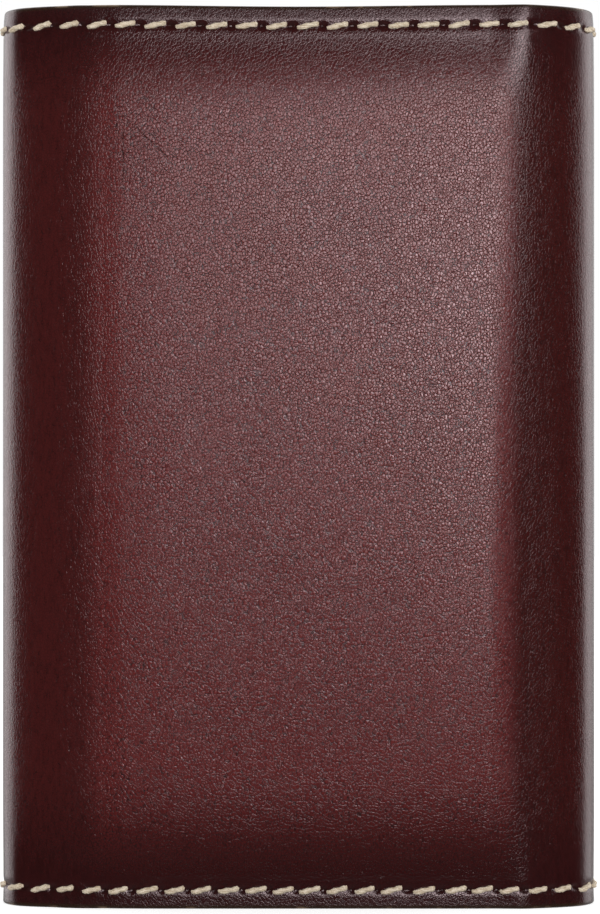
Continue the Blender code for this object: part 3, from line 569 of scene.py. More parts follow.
# %% [markdown]
# The outer face adds the valley along the thread, the margin that falls towards its cut edge, the
# holes and the waves. The inner face follows it at the leather's thickness, but never through the
# lining, and near the seams, where everything is packed tight, it is squeezed a little.

# %% The two faces of the leather
VALLEY = 0.10 * MM
VALLEY_WIDTH = 0.5 * MM
BEVEL = 0.17 * MM  # how far a margin outside the stitches falls towards its edge
BASE_FLARE = 0.20 * MM  # what the bottom margin rises again: it stands out a little, pulled in above
SQUEEZE = 0.3 * MM
CLEARANCE = 0.02 * MM
INNER_ROUNDING = 0.3  # how much of the rounding an inner edge has


def bend_at(s):
    return np.interp(s, along, bent)


def lining_depth(s):
    return LINING_DEPTH - BOARD_SPACE * bend_at(s)


def leather_outer(free_edges):
    def lift(s, z):
        distance = edge_distance(s, z, free_edges)
        valley = VALLEY * np.exp(-(((distance - SEAM) / VALLEY_WIDTH) ** 2))
        settled = ease((distance - 5 * MM) / (8 * MM)) * (1 - bend_at(s))
        margin_fall = BEVEL - BASE_FLARE * np.exp(-((z / (5 * MM)) ** 2))
        bevel = margin_fall * np.clip(1 - distance / SEAM, 0, 1) ** 1.5
        drop = sunk(s, z, distance) + valley + bevel + fillet(distance) + HOLE_DEPTH * hole_field(s, z)
        return -drop + low_waves(s, z) * settled

    return lift


def leather_inner(free_edges):
    def lift(s, z):
        distance = edge_distance(s, z, free_edges)
        packed = np.exp(-np.maximum(distance - SEAM, 0.0) / (2 * MM))
        depth = sunk(s, z, distance) + LEATHER + packed * SQUEEZE
        return -np.minimum(depth, lining_depth(s) - CLEARANCE) + fillet(distance) * INNER_ROUNDING

    return lift


print(f"room for the leather: {lining_depth(FRONT_MIDDLE) / MM:.2f} mm on the panels")

# %% [markdown]
# ## Burgundy leather
# The hide is vegetable tanned, dyed a deep burgundy and polished. A picture laid over the mesh would
# look flat as soon as the light moves. Instead noise and cells draw the grain and the wear. They
# read the flat coordinates, so the grain runs on from piece to piece. First come a few helpers.

# %% Helpers for materials
def new_material(name):
    material = bpy.data.materials.new(name)
    material.use_nodes = True
    tree = material.node_tree
    return material, tree, tree.nodes["Principled BSDF"]


def attribute(tree, name):
    return add(tree, "ShaderNodeAttribute", {"attribute_name": name}).outputs["Vector"]


def noise(tree, where, scale, detail=2.0, roughness=0.5, distortion=0.0):
    return add(tree, "ShaderNodeTexNoise", Vector=where, Scale=scale, Detail=detail, Roughness=roughness,
               Distortion=distortion).outputs[0]


def cells(tree, where, scale, feature="F1", randomness=1.0):
    return add(tree, "ShaderNodeTexVoronoi", {"feature": feature}, Vector=where, Scale=scale,
               Randomness=randomness).outputs["Distance"]


def rgb(red, green, blue):
    return (red, green, blue, 1.0)


def mixed(tree, factor, first, second):
    """A colour between two colours."""
    node = add(tree, "ShaderNodeMix", {"data_type": "RGBA"})
    for number, value in ((0, factor), (6, first), (7, second)):
        plug(tree, node.inputs[number], value)
    return node.outputs[2]


def blended(tree, factor, first, second):
    """A number between two numbers."""
    node = add(tree, "ShaderNodeMix", {"data_type": "FLOAT"})
    for number, value in ((0, factor), (2, first), (3, second)):
        plug(tree, node.inputs[number], value)
    return node.outputs[0]


def bumped(tree, shader, height, strength=1.0, distance=MM):
    """Lets a pattern of heights shape the light on a material."""
    bump = add(tree, "ShaderNodeBump", Height=height, Strength=strength, Distance=distance)
    plug(tree, shader.inputs["Normal"], bump.outputs[0])


# %% [markdown]
# The grain is a mesh of small round pebbles, about a third of a millimetre wide. A Voronoi texture
# draws it well: the distance to a cell's edge makes the furrows, and the distance to its middle the
# domes. Smaller cells make the pores. In the folds the grain is pulled into fine upright creases, and
# towards the seams it is pressed flat. All heights are in millimetres.

# %% The grain of the leather
PEBBLES, PORES = 3.1, 6.8  # cells to the millimetre
FINE_HEIGHT, PORE_HEIGHT, FURROW_DEPTH, DOME_DROP, CREASE_HEIGHT = 0.006, 0.009, 0.010, 0.013, 0.03
burgundy, tree, shader = new_material("burgundy_leather")
strip = scaled(tree, attribute(tree, "strip"), 1 / MM)
fold, edge, hole = split(tree, attribute(tree, "wear"))
drift = add(tree, "ShaderNodeTexNoise", Vector=strip, Scale=0.9, Detail=2.0).outputs["Color"]
drift = scaled(tree, vector(tree, "SUBTRACT", drift, (0.5, 0.5, 0.5)), 0.35)
wander = vector(tree, "MULTIPLY_ADD", strip, (1.0, 0.85, 1.0), drift)
furrows = fade(tree, cells(tree, wander, PEBBLES, "DISTANCE_TO_EDGE"), 0.0, 0.15, 1.0, 0.0)
from_middle = cells(tree, wander, PEBBLES)
domes = calc(tree, "MULTIPLY", from_middle, from_middle)
pores = fade(tree, cells(tree, wander, PORES, randomness=0.9), 0.05, 0.6)
fine = noise(tree, strip, 7.0, 2.0, 0.6)
creases = noise(tree, vector(tree, "MULTIPLY", wander, (1.0, 0.3, 1.0)), 2.4, 2.0, 0.6)
pitted = calc(tree, "MULTIPLY_ADD", fine, FINE_HEIGHT, calc(tree, "MULTIPLY", pores, PORE_HEIGHT))
pitted = calc(tree, "MULTIPLY_ADD", furrows, -FURROW_DEPTH, pitted)
flat_grain = calc(tree, "MULTIPLY_ADD", domes, -DOME_DROP, pitted)
fold_grain = calc(tree, "MULTIPLY_ADD", creases, CREASE_HEIGHT, calc(tree, "MULTIPLY", flat_grain, 0.8))
pressed_flat = fade(tree, edge, 2.5, 13.0, 0.55, 1.0)
grain = calc(tree, "MULTIPLY", blended(tree, fold, flat_grain, fold_grain), pressed_flat)
print("the grain takes", len(tree.nodes), "nodes")

# %% [markdown]
# A few short scratches cross the face. Each is the narrow band along a line between two points, bent
# a little by the same drift as the grain, and it fades out before its ends.

# %% Scratches
SCRATCH_DEPTH = 0.03
SCRATCHES = [  # ends in mm from the middle of the front and from the bottom
    ((-19.5, 91.2), (-14.6, 86.6)),
    ((-20.3, 90.8), (-20.3, 83.3)),
    ((-1.3, 42.8), (0.6, 43.1)),
    ((-1.4, 41.0), (0.5, 40.6)),
]


def scratch_mark(tree, place, ends):
    """1 on a fine straight scratch between two points, 0 beside it."""
    (s_0, z_0), (s_1, z_1) = [(FRONT_MIDDLE / MM + s, z) for s, z in ends]
    length = math.hypot(s_1 - s_0, z_1 - z_0)
    u, v = (s_1 - s_0) / length, (z_1 - z_0) / length
    from_end = vector(tree, "SUBTRACT", place, (s_0, z_0, 0.0))
    down_the_line = vector(tree, "DOT_PRODUCT", from_end, (u, v, 0.0), out=1)
    off_the_line = vector(tree, "DOT_PRODUCT", from_end, (-v, u, 0.0), out=1)
    beside = fade(tree, calc(tree, "ABSOLUTE", off_the_line), 0.03, 0.1, 1.0, 0.0)
    to_middle = calc(tree, "ABSOLUTE", calc(tree, "SUBTRACT", down_the_line, length / 2))
    return calc(tree, "MULTIPLY", beside, fade(tree, to_middle, length * 0.35, length * 0.5, 1.0, 0.0))


scratch_place = vector(tree, "ADD", strip, drift)
scratched = 0.0
for ends in SCRATCHES:
    scratched = calc(tree, "MAXIMUM", scratched, scratch_mark(tree, scratch_place, ends))
bumped(tree, shader, calc(tree, "MULTIPLY_ADD", scratched, -SCRATCH_DEPTH, grain))
print(len(SCRATCHES), "scratches")

# %% [markdown]
# Painted shade darkens the colour in the folds, which turn away from the lights, and towards the upper
# and lower seams; the left fold is painted lighter and redder, as if lit from the left. The panels are a
# little cloudy. The same cells darken the furrows and pores of the grain with painted shade. Last come the
# cut edges, dressed dark brown and rubbed bare here and there, and painted shade in the needle holes.

# %% The colour of the leather
PANEL_RED = rgb(0.099, 0.0132, 0.0128)
# Painted shade: the folds are darker, as they turn away from the lights.
FOLD_SHADE_RED = rgb(0.045, 0.0068, 0.0062)
# Painted light: the left fold is lighter and redder, as if lit from the left.
LIT_LEFT_FOLD_RED = rgb(0.059, 0.0088, 0.0084)
# Painted shade towards the upper and lower seams.
SEAM_SHADE_RED = rgb(0.033, 0.0056, 0.0058)
EDGE_BROWN = rgb(0.030, 0.016, 0.008)
# Painted shade in the needle holes; the same brown darkens the scratches, a real mark.
HOLE_SHADE_AND_SCRATCH_BROWN = rgb(0.012, 0.006, 0.004)
RAW_TAN = rgb(0.30, 0.21, 0.13)
MIDDLE_MM = FRONT_MIDDLE / MM  # along the strip
clouds = noise(tree, strip, 0.06, 4.0, 0.55)
# Off the folds the painted fold shade gives way to the cloudy tone of the panels.
away_from_fold = fade(tree, fold, 0.2, 1.05, 1.0, 0.0)
mottled_off_fold = calc(tree, "MULTIPLY", away_from_fold, fade(tree, clouds, 0.3, 0.7, 0.85, 1.05), clamp=True)
around, up, _ = split(tree, strip)
# The left half gets the painted light of the left fold.
left_half = fade(tree, around, MIDDLE_MM - 15, MIDDLE_MM + 15, 1.0, 0.0)
panel_with_fold_shade_and_light = mixed(tree, mottled_off_fold, mixed(tree, left_half, FOLD_SHADE_RED, LIT_LEFT_FOLD_RED), PANEL_RED)
# Painted shade of the seams, deeper and wider at the base.
below_top = fade(tree, up, HEIGHT / MM - 14.0, HEIGHT / MM - 0.5, 1.0, 0.0)
above_base = fade(tree, up, 1.5, 18.0)
seam_darkened = mixed(tree, calc(tree, "MINIMUM", below_top, above_base), SEAM_SHADE_RED, panel_with_fold_shade_and_light)

# Painted shade in the furrows and pores of the grain, calmer in the folds and near the seams.
dark_furrows = fade(tree, furrows, 0.0, 1.0, 1.15, 0.35)
furrow_and_pore_shade = calc(tree, "MULTIPLY", dark_furrows, fade(tree, pores, 0.0, 0.8, 0.5, 1.2))
calm = calc(tree, "MULTIPLY", calc(tree, "MAXIMUM", fold, fade(tree, edge, 2.5, 14.0, 1.0, 0.0)), 0.7)
grain_shade = blended(tree, calm, furrow_and_pore_shade, 0.92)
# In the folds, painted shade also lies in the valleys of the fine creases.
crease_and_grain_shade = calc(tree, "MULTIPLY", fade(tree, creases, 0.3, 0.6, 0.85, 1.08), grain_shade)
grained = scaled(tree, seam_darkened, blended(tree, fold, grain_shade, crease_and_grain_shade))
grained = mixed(tree, calc(tree, "MULTIPLY", scratched, 0.5), grained, HOLE_SHADE_AND_SCRATCH_BROWN)
dressed = mixed(tree, fade(tree, edge, 0.25, 0.6, 0.9, 0.0), grained, EDGE_BROWN)
bare_places = fade(tree, noise(tree, strip, 0.22, 3.0, 0.6), 0.54, 0.66)
worn_edge = calc(tree, "MULTIPLY", bare_places, fade(tree, edge, 0.05, 0.35, 0.75, 0.0))
worn = mixed(tree, worn_edge, dressed, RAW_TAN)
# Painted shade in the needle holes.
finished = mixed(tree, calc(tree, "MULTIPLY", hole, 0.5), worn, HOLE_SHADE_AND_SCRATCH_BROWN)
plug(tree, shader.inputs["Base Color"], finished)
print("with its colour", len(tree.nodes), "nodes")

# %% [markdown]
# The polish lies on the domes. In the furrows and at the cut edges the surface is duller.

# %% The polish of the leather
polish = calc(tree, "ADD", fade(tree, pores, 0.15, 0.85, 0.17, 0.13), calc(tree, "MULTIPLY", furrows, 0.10))
gloss = calc(tree, "MULTIPLY_ADD", fine, 0.1, calc(tree, "SUBTRACT", polish, 0.05))
plug(tree, shader.inputs["Roughness"], calc(tree, "ADD", gloss, fade(tree, edge, 0.2, 2.2, 0.08, 0.0)))
shader.inputs["Specular IOR Level"].default_value = 0.7
shader.inputs["IOR"].default_value = 1.5
shader.inputs["Specular Tint"].default_value = rgb(1.0, 0.81, 0.84)
print(burgundy.name, "has", len(tree.nodes), "nodes")

# %% [markdown]
# ## The leather pieces
# A piece of fabric can bend across one hinge only, so the strip is cut where it is still: on the
# plain face just before the right fold, and at the middle of each side. Neighbours share their
# border points exactly, so no seam shows.

# %% Cut and wrap the leather
LEFT_SIDE = s_at(-SIDE_X, (LEFT_BACK[1] + LEFT_FRONT[1]) / 2)
RIGHT_SIDE = s_at(SIDE_X, (RIGHT_BACK[1] + RIGHT_FRONT[1]) / 2)
FACE_CUT = s_at(21.0 * MM, FRONT_Y)
COLUMN = 0.25 * MM


def wear(free_edges):
    """What the leather's grain and colour read at each point: bending, distance to a cut edge in mm, needle
    hole.
    """
    def values(s, z):
        distance = edge_distance(s, z, free_edges) / MM
        return np.stack([bend_at(s), distance, hole_field(s, z)], axis=-1)

    return values


def moved_by(change, mesh):
    """Lets a function change the array of a flat mesh's points, and returns the mesh."""
    points = np.zeros(len(mesh.vertices) * 3)
    mesh.vertices.foreach_get("co", points)
    points = points.reshape(-1, 3)
    change(points)
    mesh.vertices.foreach_set("co", points.ravel())
    mesh.update()
    return mesh


def settle_top(points):
    points[:, 1] -= top_dip(points[:, 0], points[:, 1])


def columns_between(low, high, free_edges, step):
    """Places along the strip, closer together at a free edge."""
    if 0.0 in free_edges:
        return [low + d for d in EDGE_ROWS] + spaced((low + EDGE_BAND, high, step))
    if STRIP_LENGTH in free_edges:
        return spaced((low, high - EDGE_BAND, step)) + [high - d for d in reversed(EDGE_ROWS)]
    return spaced((low, high, step))


def wrapped(name, flat, material):
    """A flat sheet bent round the outline, with its material."""
    piece = made_by(wrap_tree, flat, name, Path=path)
    piece.data.materials.append(material)
    piece.data.set_sharp_from_angle(angle=math.radians(50))
    print(f"{name}: {len(piece.data.polygons)} faces")
    return piece


def stretch(name, low, high, free_edges, outer_lift, inner_lift, material, step):
    """A stretch of the strip between two lifts, wrapped round the outline."""
    flat = flat_sheet(name, columns_between(low, high, free_edges, step), HEIGHT_ROWS,
                      outer_lift(free_edges), inner_lift(free_edges), wear(free_edges))
    return wrapped(name, moved_by(settle_top, flat), material)


def leather_piece(name, low, high, free_edges=()):
    return stretch(name, low, high, free_edges, leather_outer, leather_inner, burgundy, COLUMN)


face_leather = leather_piece("face_leather", LEFT_SIDE, FACE_CUT)
right_leather = leather_piece("right_fold_leather", FACE_CUT, RIGHT_SIDE)
back_leather = leather_piece("outer_flap_skin", RIGHT_SIDE, STRIP_LENGTH, (STRIP_LENGTH,))
inner_leather = leather_piece("inner_flap_skin", 0.0, LEFT_SIDE, (0.0,))

# %% [markdown]
# ## The lining
# Inside, the case is lined with a thinner, softer leather in the same colour, with a dull finish. It
# follows the outer leather at the depth of the boards. In the folds it is on the short side of the
# bend, so it gathers into small upright ripples, and the seams pull it in at each needle hole. When
# the case lies open the ripples catch the light, so they are real and not only bump.

# %% The lining material
LINING_RED = (0.060, 0.0150, 0.0120)
LINING_DARK = rgb(0.030, 0.0075, 0.0062)
lining_skin, tree, shader = new_material("burgundy_lining")
strip = scaled(tree, attribute(tree, "strip"), 1 / MM)
fold, edge, hole = split(tree, attribute(tree, "wear"))
fine_cells = fade(tree, cells(tree, strip, 4.0, "F1"), 0.1, 0.5)
soft = noise(tree, strip, 0.5, 4.0, 0.6)
bumped(tree, shader, calc(tree, "MULTIPLY_ADD", soft, 0.10, calc(tree, "MULTIPLY", fine_cells, 0.010)))
clouds = fade(tree, noise(tree, strip, 0.08, 4.0), 0.3, 0.7, 0.75, 1.15)
tone = calc(tree, "MULTIPLY", clouds, fade(tree, fine_cells, 0.0, 1.0, 0.75, 1.08))
seam_darkened = mixed(tree, fade(tree, edge, 0.3, 6.0, 0.7, 0.0), scaled(tree, LINING_RED, tone), LINING_DARK)
edged = mixed(tree, fade(tree, edge, 0.2, 0.5, 0.9, 0.0), seam_darkened, EDGE_BROWN)
# Painted shade in the lining's needle holes.
plug(tree, shader.inputs["Base Color"], mixed(tree, calc(tree, "MULTIPLY", hole, 0.85), edged, HOLE_SHADE_AND_SCRATCH_BROWN))
plug(tree, shader.inputs["Roughness"], fade(tree, soft, 0.3, 0.7, 0.50, 0.62))
shader.inputs["Sheen Weight"].default_value = 0.08
print(lining_skin.name, "has", len(tree.nodes), "nodes")

# %% [markdown]
# The lining is cut and wrapped like the leather, from two lifts of its own. A wave along the strip
# makes the ripples, only where the strip is bent and only away from the seams.

# %% Cut and wrap the lining
RIPPLE = 0.10 * MM
RIPPLE_LENGTH = 2.1 * MM
DRAWN_IN = 0.12 * MM
LINING_HOLE = 0.2 * MM
LINING_COLUMN = 0.35 * MM


def lining_outer(free_edges):
    def lift(s, z):
        distance = edge_distance(s, z, free_edges)
        return -lining_depth(s) - fillet(distance) * INNER_ROUNDING

    return lift


def lining_inner(free_edges):
    def lift(s, z):
        distance = edge_distance(s, z, free_edges)
        ripples = 0.5 + 0.5 * np.sin(math.tau * s / RIPPLE_LENGTH + 1.3 * np.sin(z / (9 * MM)))
        gathered = RIPPLE * bend_at(s) * ease((distance - 3 * MM) / (6 * MM)) * ripples
        valley = DRAWN_IN * np.exp(-(((distance - SEAM) / VALLEY_WIDTH) ** 2))
        drop = fillet(distance) + valley + LINING_HOLE * hole_field(s, z) + gathered
        return -lining_depth(s) - LINING + drop

    return lift


def lining_piece(name, low, high, free_edges=()):
    return stretch(name, low, high, free_edges, lining_outer, lining_inner, lining_skin, LINING_COLUMN)


face_lining = lining_piece("face_lining_skin", LEFT_SIDE, FACE_CUT)
right_lining = lining_piece("right_fold_lining_skin", FACE_CUT, RIGHT_SIDE)
back_lining = lining_piece("outer_flap_lining_skin", RIGHT_SIDE, STRIP_LENGTH, (STRIP_LENGTH,))
inner_lining = lining_piece("inner_flap_lining_skin", 0.0, LEFT_SIDE, (0.0,))

# %% [markdown]
# ## Sewing
# One stitch is a short piece of two-ply cord: a line that dives into the leather at both ends, swept
# with a waisted outline that turns on the way, which gives the rope-like look of twisted thread.
# Modelling one stitch and copying it by hand would do for a few, but there are hundreds here, so a
# tree makes them from named sizes.

# %% The sewing tree: one stitch
sew_tree, start, end = new_tree(
    "sew_along_points", ("Path", "Object"), ("Thread Radius", "Float"), ("Stitch Length", "Float"),
    ("Dive", "Float"), ("Turns", "Float"), ("Segments", "Int"), ("Sides", "Int"), ("Seed", "Int"),
    ("Thread", "Material"),
)
half = calc(sew_tree, "MULTIPLY", start["Stitch Length"], 0.5)
run = add(sew_tree, "GeometryNodeCurvePrimitiveLine",
          Start=join(sew_tree, calc(sew_tree, "MULTIPLY", half, -1.0), 0.0, 0.0),
          End=join(sew_tree, half, 0.0, 0.0))
fine_run = add(sew_tree, "GeometryNodeResampleCurve", {"mode": "COUNT"}, Curve=run.outputs[0],
               Count=start["Segments"])
share = sew_tree.nodes.new("GeometryNodeSplineParameter").outputs["Factor"]
from_middle = calc(sew_tree, "ABSOLUTE", calc(sew_tree, "MULTIPLY_ADD", share, 2.0, -1.0))
dive = calc(sew_tree, "MULTIPLY", calc(sew_tree, "POWER", from_middle, 5.0), start["Dive"])
bowed = add(sew_tree, "GeometryNodeSetPosition", Geometry=fine_run.outputs[0],
            Offset=join(sew_tree, 0.0, 0.0, calc(sew_tree, "MULTIPLY", dive, -1.0)))
turns = calc(sew_tree, "MULTIPLY", calc(sew_tree, "MULTIPLY", share, start["Turns"]), math.tau)
twisted = add(sew_tree, "GeometryNodeSetCurveTilt", Curve=bowed.outputs[0], Tilt=turns)

ring = add(sew_tree, "GeometryNodeCurvePrimitiveCircle", {"mode": "RADIUS"}, Resolution=start["Sides"],
           Radius=start["Thread Radius"])
ring_place = sew_tree.nodes.new("GeometryNodeInputPosition").outputs[0]
ring_x, ring_y, _ = split(sew_tree, vector(sew_tree, "NORMALIZE", ring_place))
double_angle = calc(sew_tree, "SUBTRACT", calc(sew_tree, "MULTIPLY", ring_x, ring_x),
                    calc(sew_tree, "MULTIPLY", ring_y, ring_y))
waist = calc(sew_tree, "MULTIPLY_ADD", double_angle, 0.14, 0.86)
two_ply = add(sew_tree, "GeometryNodeSetPosition", Geometry=ring.outputs[0],
              Position=scaled(sew_tree, ring_place, waist))
cord = add(sew_tree, "GeometryNodeCurveToMesh", Curve=twisted.outputs[0],
           Profile_Curve=two_ply.outputs[0], Fill_Caps=True)
print("one stitch:", len(sew_tree.nodes), "nodes")

# %% [markdown]
# The rest of the tree places one copy at each point of a flat mesh of points, varies it a little with
# a fixed seed, makes the copies real and wraps them round the outline as the leather was.

# %% The sewing tree: a row of stitches
facing = add(sew_tree, "GeometryNodeInputNamedAttribute", {"data_type": "FLOAT_VECTOR"}, Name="turn")
askew = add(sew_tree, "FunctionNodeRandomValue", {"data_type": "FLOAT_VECTOR"}, Seed=start["Seed"],
            Min=(-0.06, -0.05, -0.07), Max=(0.06, 0.05, 0.07))
rotation = add(sew_tree, "FunctionNodeEulerToRotation",
               Euler=vector(sew_tree, "ADD", facing.outputs[0], askew.outputs[0]))
size = add(sew_tree, "GeometryNodeInputNamedAttribute", {"data_type": "FLOAT_VECTOR"}, Name="stretch")
copies = add(sew_tree, "GeometryNodeInstanceOnPoints", Points=start["Geometry"], Instance=cord.outputs[0],
             Rotation=rotation.outputs[0], Scale=size.outputs[0])
real = add(sew_tree, "GeometryNodeRealizeInstances", Geometry=copies.outputs[0])
round_outline = add(sew_tree, "GeometryNodeGroup", {"node_tree": wrap_tree}, Geometry=real.outputs[0],
                    Path=start["Path"])
smooth = add(sew_tree, "GeometryNodeSetShadeSmooth", Geometry=round_outline.outputs[0])
coloured = add(sew_tree, "GeometryNodeSetMaterial", Geometry=smooth.outputs[0], Material=start["Thread"])
plug(sew_tree, end["Geometry"], coloured.outputs[0])
print("sewing tree:", len(sew_tree.nodes), "nodes")

# %% [markdown]
# ## Waxed thread
# The thread is undyed linen, cream with a warm cast, and a little darker where wax and dye have
# rubbed off on it. Single fibres would take millions of faces. A noise that is drawn out along the
# stitch gives their streaks.

# %% The thread material
CREAM = rgb(0.93, 0.80, 0.63)
WAX = rgb(0.46, 0.33, 0.19)
cream_thread, tree, shader = new_material("cream_thread")
where = scaled(tree, attribute(tree, "strip"), 1 / MM)
fibres = noise(tree, vector(tree, "MULTIPLY", where, (0.35, 3.0, 3.0)), 3.2, 3.0, 0.6)
stain = fade(tree, noise(tree, where, 0.8, 2.0), 0.45, 0.75, 0.0, 0.5)
plug(tree, shader.inputs["Base Color"],
     mixed(tree, calc(tree, "MAXIMUM", stain, fade(tree, fibres, 0.38, 0.58, 0.85, 0.0)), CREAM, WAX))
shader.inputs["Roughness"].default_value = 0.62
shader.inputs["Sheen Weight"].default_value = 0.15
bumped(tree, shader, fibres, 0.6, 0.04 * MM)
print(cream_thread.name, "has", len(tree.nodes), "nodes")

# %% [markdown]
# Each stitch is sewn twice, once on the leather and once, turned over, on the lining. A point's "turn"
# says which way its stitch faces, and its "stretch" how much longer it is than the tree's own one.

# %% Sew the rows
THREAD_RADIUS = 0.38 * MM
STITCH_LENGTH = 2.6 * MM
STANDS_OUT = 0.06 * MM  # how far the middle of the thread is above the pressed leather
SUNK_IN = 0.02 * MM  # and how far it is below the face of the lining


def thread_points(name, places):
    """A flat mesh with one point for each stitch: (stitch, lift, whether it shows from inside)."""
    mesh = bpy.data.meshes.new(name)
    points = [(stitch.s, stitch.z - float(top_dip(stitch.s, stitch.z)), lift) for stitch, lift, _ in places]
    mesh.from_pydata(points, [], [])
    turn_layer = mesh.attributes.new("turn", "FLOAT_VECTOR", "POINT")
    stretch_layer = mesh.attributes.new("stretch", "FLOAT_VECTOR", "POINT")
    for k, (stitch, _, inside) in enumerate(places):
        turn_layer.data[k].vector = (math.pi if inside else 0.0, 0.0, stitch.slant)
        stretch_layer.data[k].vector = (stitch.long / STITCH_LENGTH, 1.0, 1.0)
    return mesh


def both_sides(low, high):
    """The stitches of one stretch, outside on the leather and inside on the lining."""
    places = []
    for stitch in stitches:
        if low <= stitch.s < high:
            places.append((stitch, STANDS_OUT - float(sunk(stitch.s, stitch.z, SEAM)), False))
            places.append((stitch, SUNK_IN - float(lining_depth(stitch.s)) - LINING, True))
    return places


def sewn(name, places):
    piece = made_by(sew_tree, thread_points(name, places), name, Path=path, Thread_Radius=THREAD_RADIUS,
                    Stitch_Length=STITCH_LENGTH, Dive=0.62 * MM, Turns=1.2, Segments=13, Sides=8, Seed=3,
                    Thread=cream_thread)
    print(f"{name}: {len(piece.data.polygons)} faces")
    return piece


face_thread = sewn("face_stitches", both_sides(LEFT_SIDE, FACE_CUT))
right_thread = sewn("right_fold_stitches", both_sides(FACE_CUT, RIGHT_SIDE))
back_thread = sewn("outer_flap_stitches", both_sides(RIGHT_SIDE, STRIP_LENGTH))
inner_thread = sewn("inner_flap_stitches", both_sides(0.0, LEFT_SIDE))

# %% [markdown]
# ## The slip pocket
# A small pocket for a card or a ticket is sewn inside the wide flap on three sides. Its mouth has a
# half-round cut for the thumb. We draw it in the same flat coordinates as the strip, so that it can
# be wrapped and sewn with the same two trees.

# %% Lay out the slip pocket
POCKET_LOW = 4.5 * MM
POCKET_MOUTH = 40.0 * MM
POCKET_THICK = 0.8 * MM
POCKET_BACK = OUTER_Y - 5.35 * MM
THUMB_RADIUS = 8.0 * MM
THUMB_STEPS = 40
POCKET_COLUMN = 0.5 * MM
BESIDE_THUMB = THUMB_RADIUS + 0.05 * MM
pocket_right, pocket_left = s_at(21.4 * MM, OUTER_Y), s_at(-22.5 * MM, OUTER_Y)
thumb_middle = (pocket_left + pocket_right) / 2
thumb_columns = [thumb_middle - THUMB_RADIUS * math.cos(math.pi * k / THUMB_STEPS)
                 for k in range(THUMB_STEPS + 1)]
pocket_columns = (
    [pocket_right + d for d in EDGE_ROWS]
    + spaced((pocket_right + EDGE_BAND, thumb_middle - BESIDE_THUMB, POCKET_COLUMN))
    + thumb_columns
    + spaced((thumb_middle + BESIDE_THUMB, pocket_left - EDGE_BAND, POCKET_COLUMN))
    + [pocket_left - d for d in reversed(EDGE_ROWS)]
)
pocket_rows = [POCKET_LOW + d for d in EDGE_ROWS] + spaced((5 * MM, 39.5 * MM, 0.7 * MM))
pocket_rows += [POCKET_MOUTH - d for d in reversed(EDGE_ROWS)]
print(f"the pocket is {(pocket_left - pocket_right) / MM:.1f} mm wide")

# %% [markdown]
# The pocket is sewn down at its border and stands a little proud in its open middle. A creased line
# runs below its mouth.

# %% The two faces of the pocket
POCKET_SWELL = 0.22 * MM
POCKET_SEAM = 1.9 * MM
SEWN_IN = 0.16 * MM
MOUTH_GAP = 2.4 * MM  # the side seams end this far below the mouth
CREASE_DEPTH, CREASE_BELOW, CREASE_WIDTH = 0.12 * MM, 1.6 * MM, 0.25 * MM


def pocket_distance(s, z):
    sides = np.minimum(s - pocket_right, pocket_left - s)
    return np.minimum(sides, np.minimum(z - POCKET_LOW, POCKET_MOUTH - z))


def pocket_swell(s, z):
    across = np.clip(np.minimum(s - pocket_right, pocket_left - s) / (8 * MM), 0, 1)
    upward = np.clip((z - POCKET_LOW) / (12 * MM), 0, 1)
    return POCKET_SWELL * ease(across) * ease(upward)


def pocket_front(s, z):
    distance = pocket_distance(s, z)
    crease = CREASE_DEPTH * np.exp(-(((POCKET_MOUTH - z - CREASE_BELOW) / CREASE_WIDTH) ** 2))
    valley = SEWN_IN * np.exp(-(((distance - POCKET_SEAM) / VALLEY_WIDTH) ** 2))
    drop = fillet(distance) + crease + valley * (z < POCKET_MOUTH - MOUTH_GAP)
    return -POCKET_BACK - POCKET_THICK + drop + POCKET_SWELL - pocket_swell(s, z)


def pocket_rear(s, z):
    return -POCKET_BACK - fillet(pocket_distance(s, z)) * 0.4 - pocket_swell(s, z) * 0.5


def pocket_wear(s, z):
    return np.stack([np.zeros_like(s), pocket_distance(s, z) / MM, np.zeros_like(s)], axis=-1)


print(f"its seam is {POCKET_SEAM / MM} mm from its edge")

# %% [markdown]
# The thumb cut is made by drawing the upper rows of points down, the more the nearer they are to the
# mouth, so no face has to be cut in two.

# %% Make the slip pocket
LEVEL = 24 * MM  # below this height the rows stay straight


def mouth_height(s):
    """The height of the pocket's mouth, with its thumb cut."""
    inside = np.clip(1 - ((s - thumb_middle) / THUMB_RADIUS) ** 2, 0.0, 1.0)
    return POCKET_MOUTH - THUMB_RADIUS * np.sqrt(inside)


def cut_thumb(points):
    above = points[:, 1] > LEVEL
    share = (points[above, 1] - LEVEL) / (POCKET_MOUTH - LEVEL)
    points[above, 1] = LEVEL + share * (mouth_height(points[above, 0]) - LEVEL)


pocket_flat = flat_sheet("card_pocket", pocket_columns, pocket_rows, pocket_front, pocket_rear, pocket_wear)
pocket_flat = moved_by(cut_thumb, pocket_flat)
pocket_flat.flip_normals()
card_pocket = wrapped("card_pocket", pocket_flat, lining_skin)

# %% [markdown]
# Its seam goes up both sides and along the bottom, in a slightly smaller stitch than the case's own.

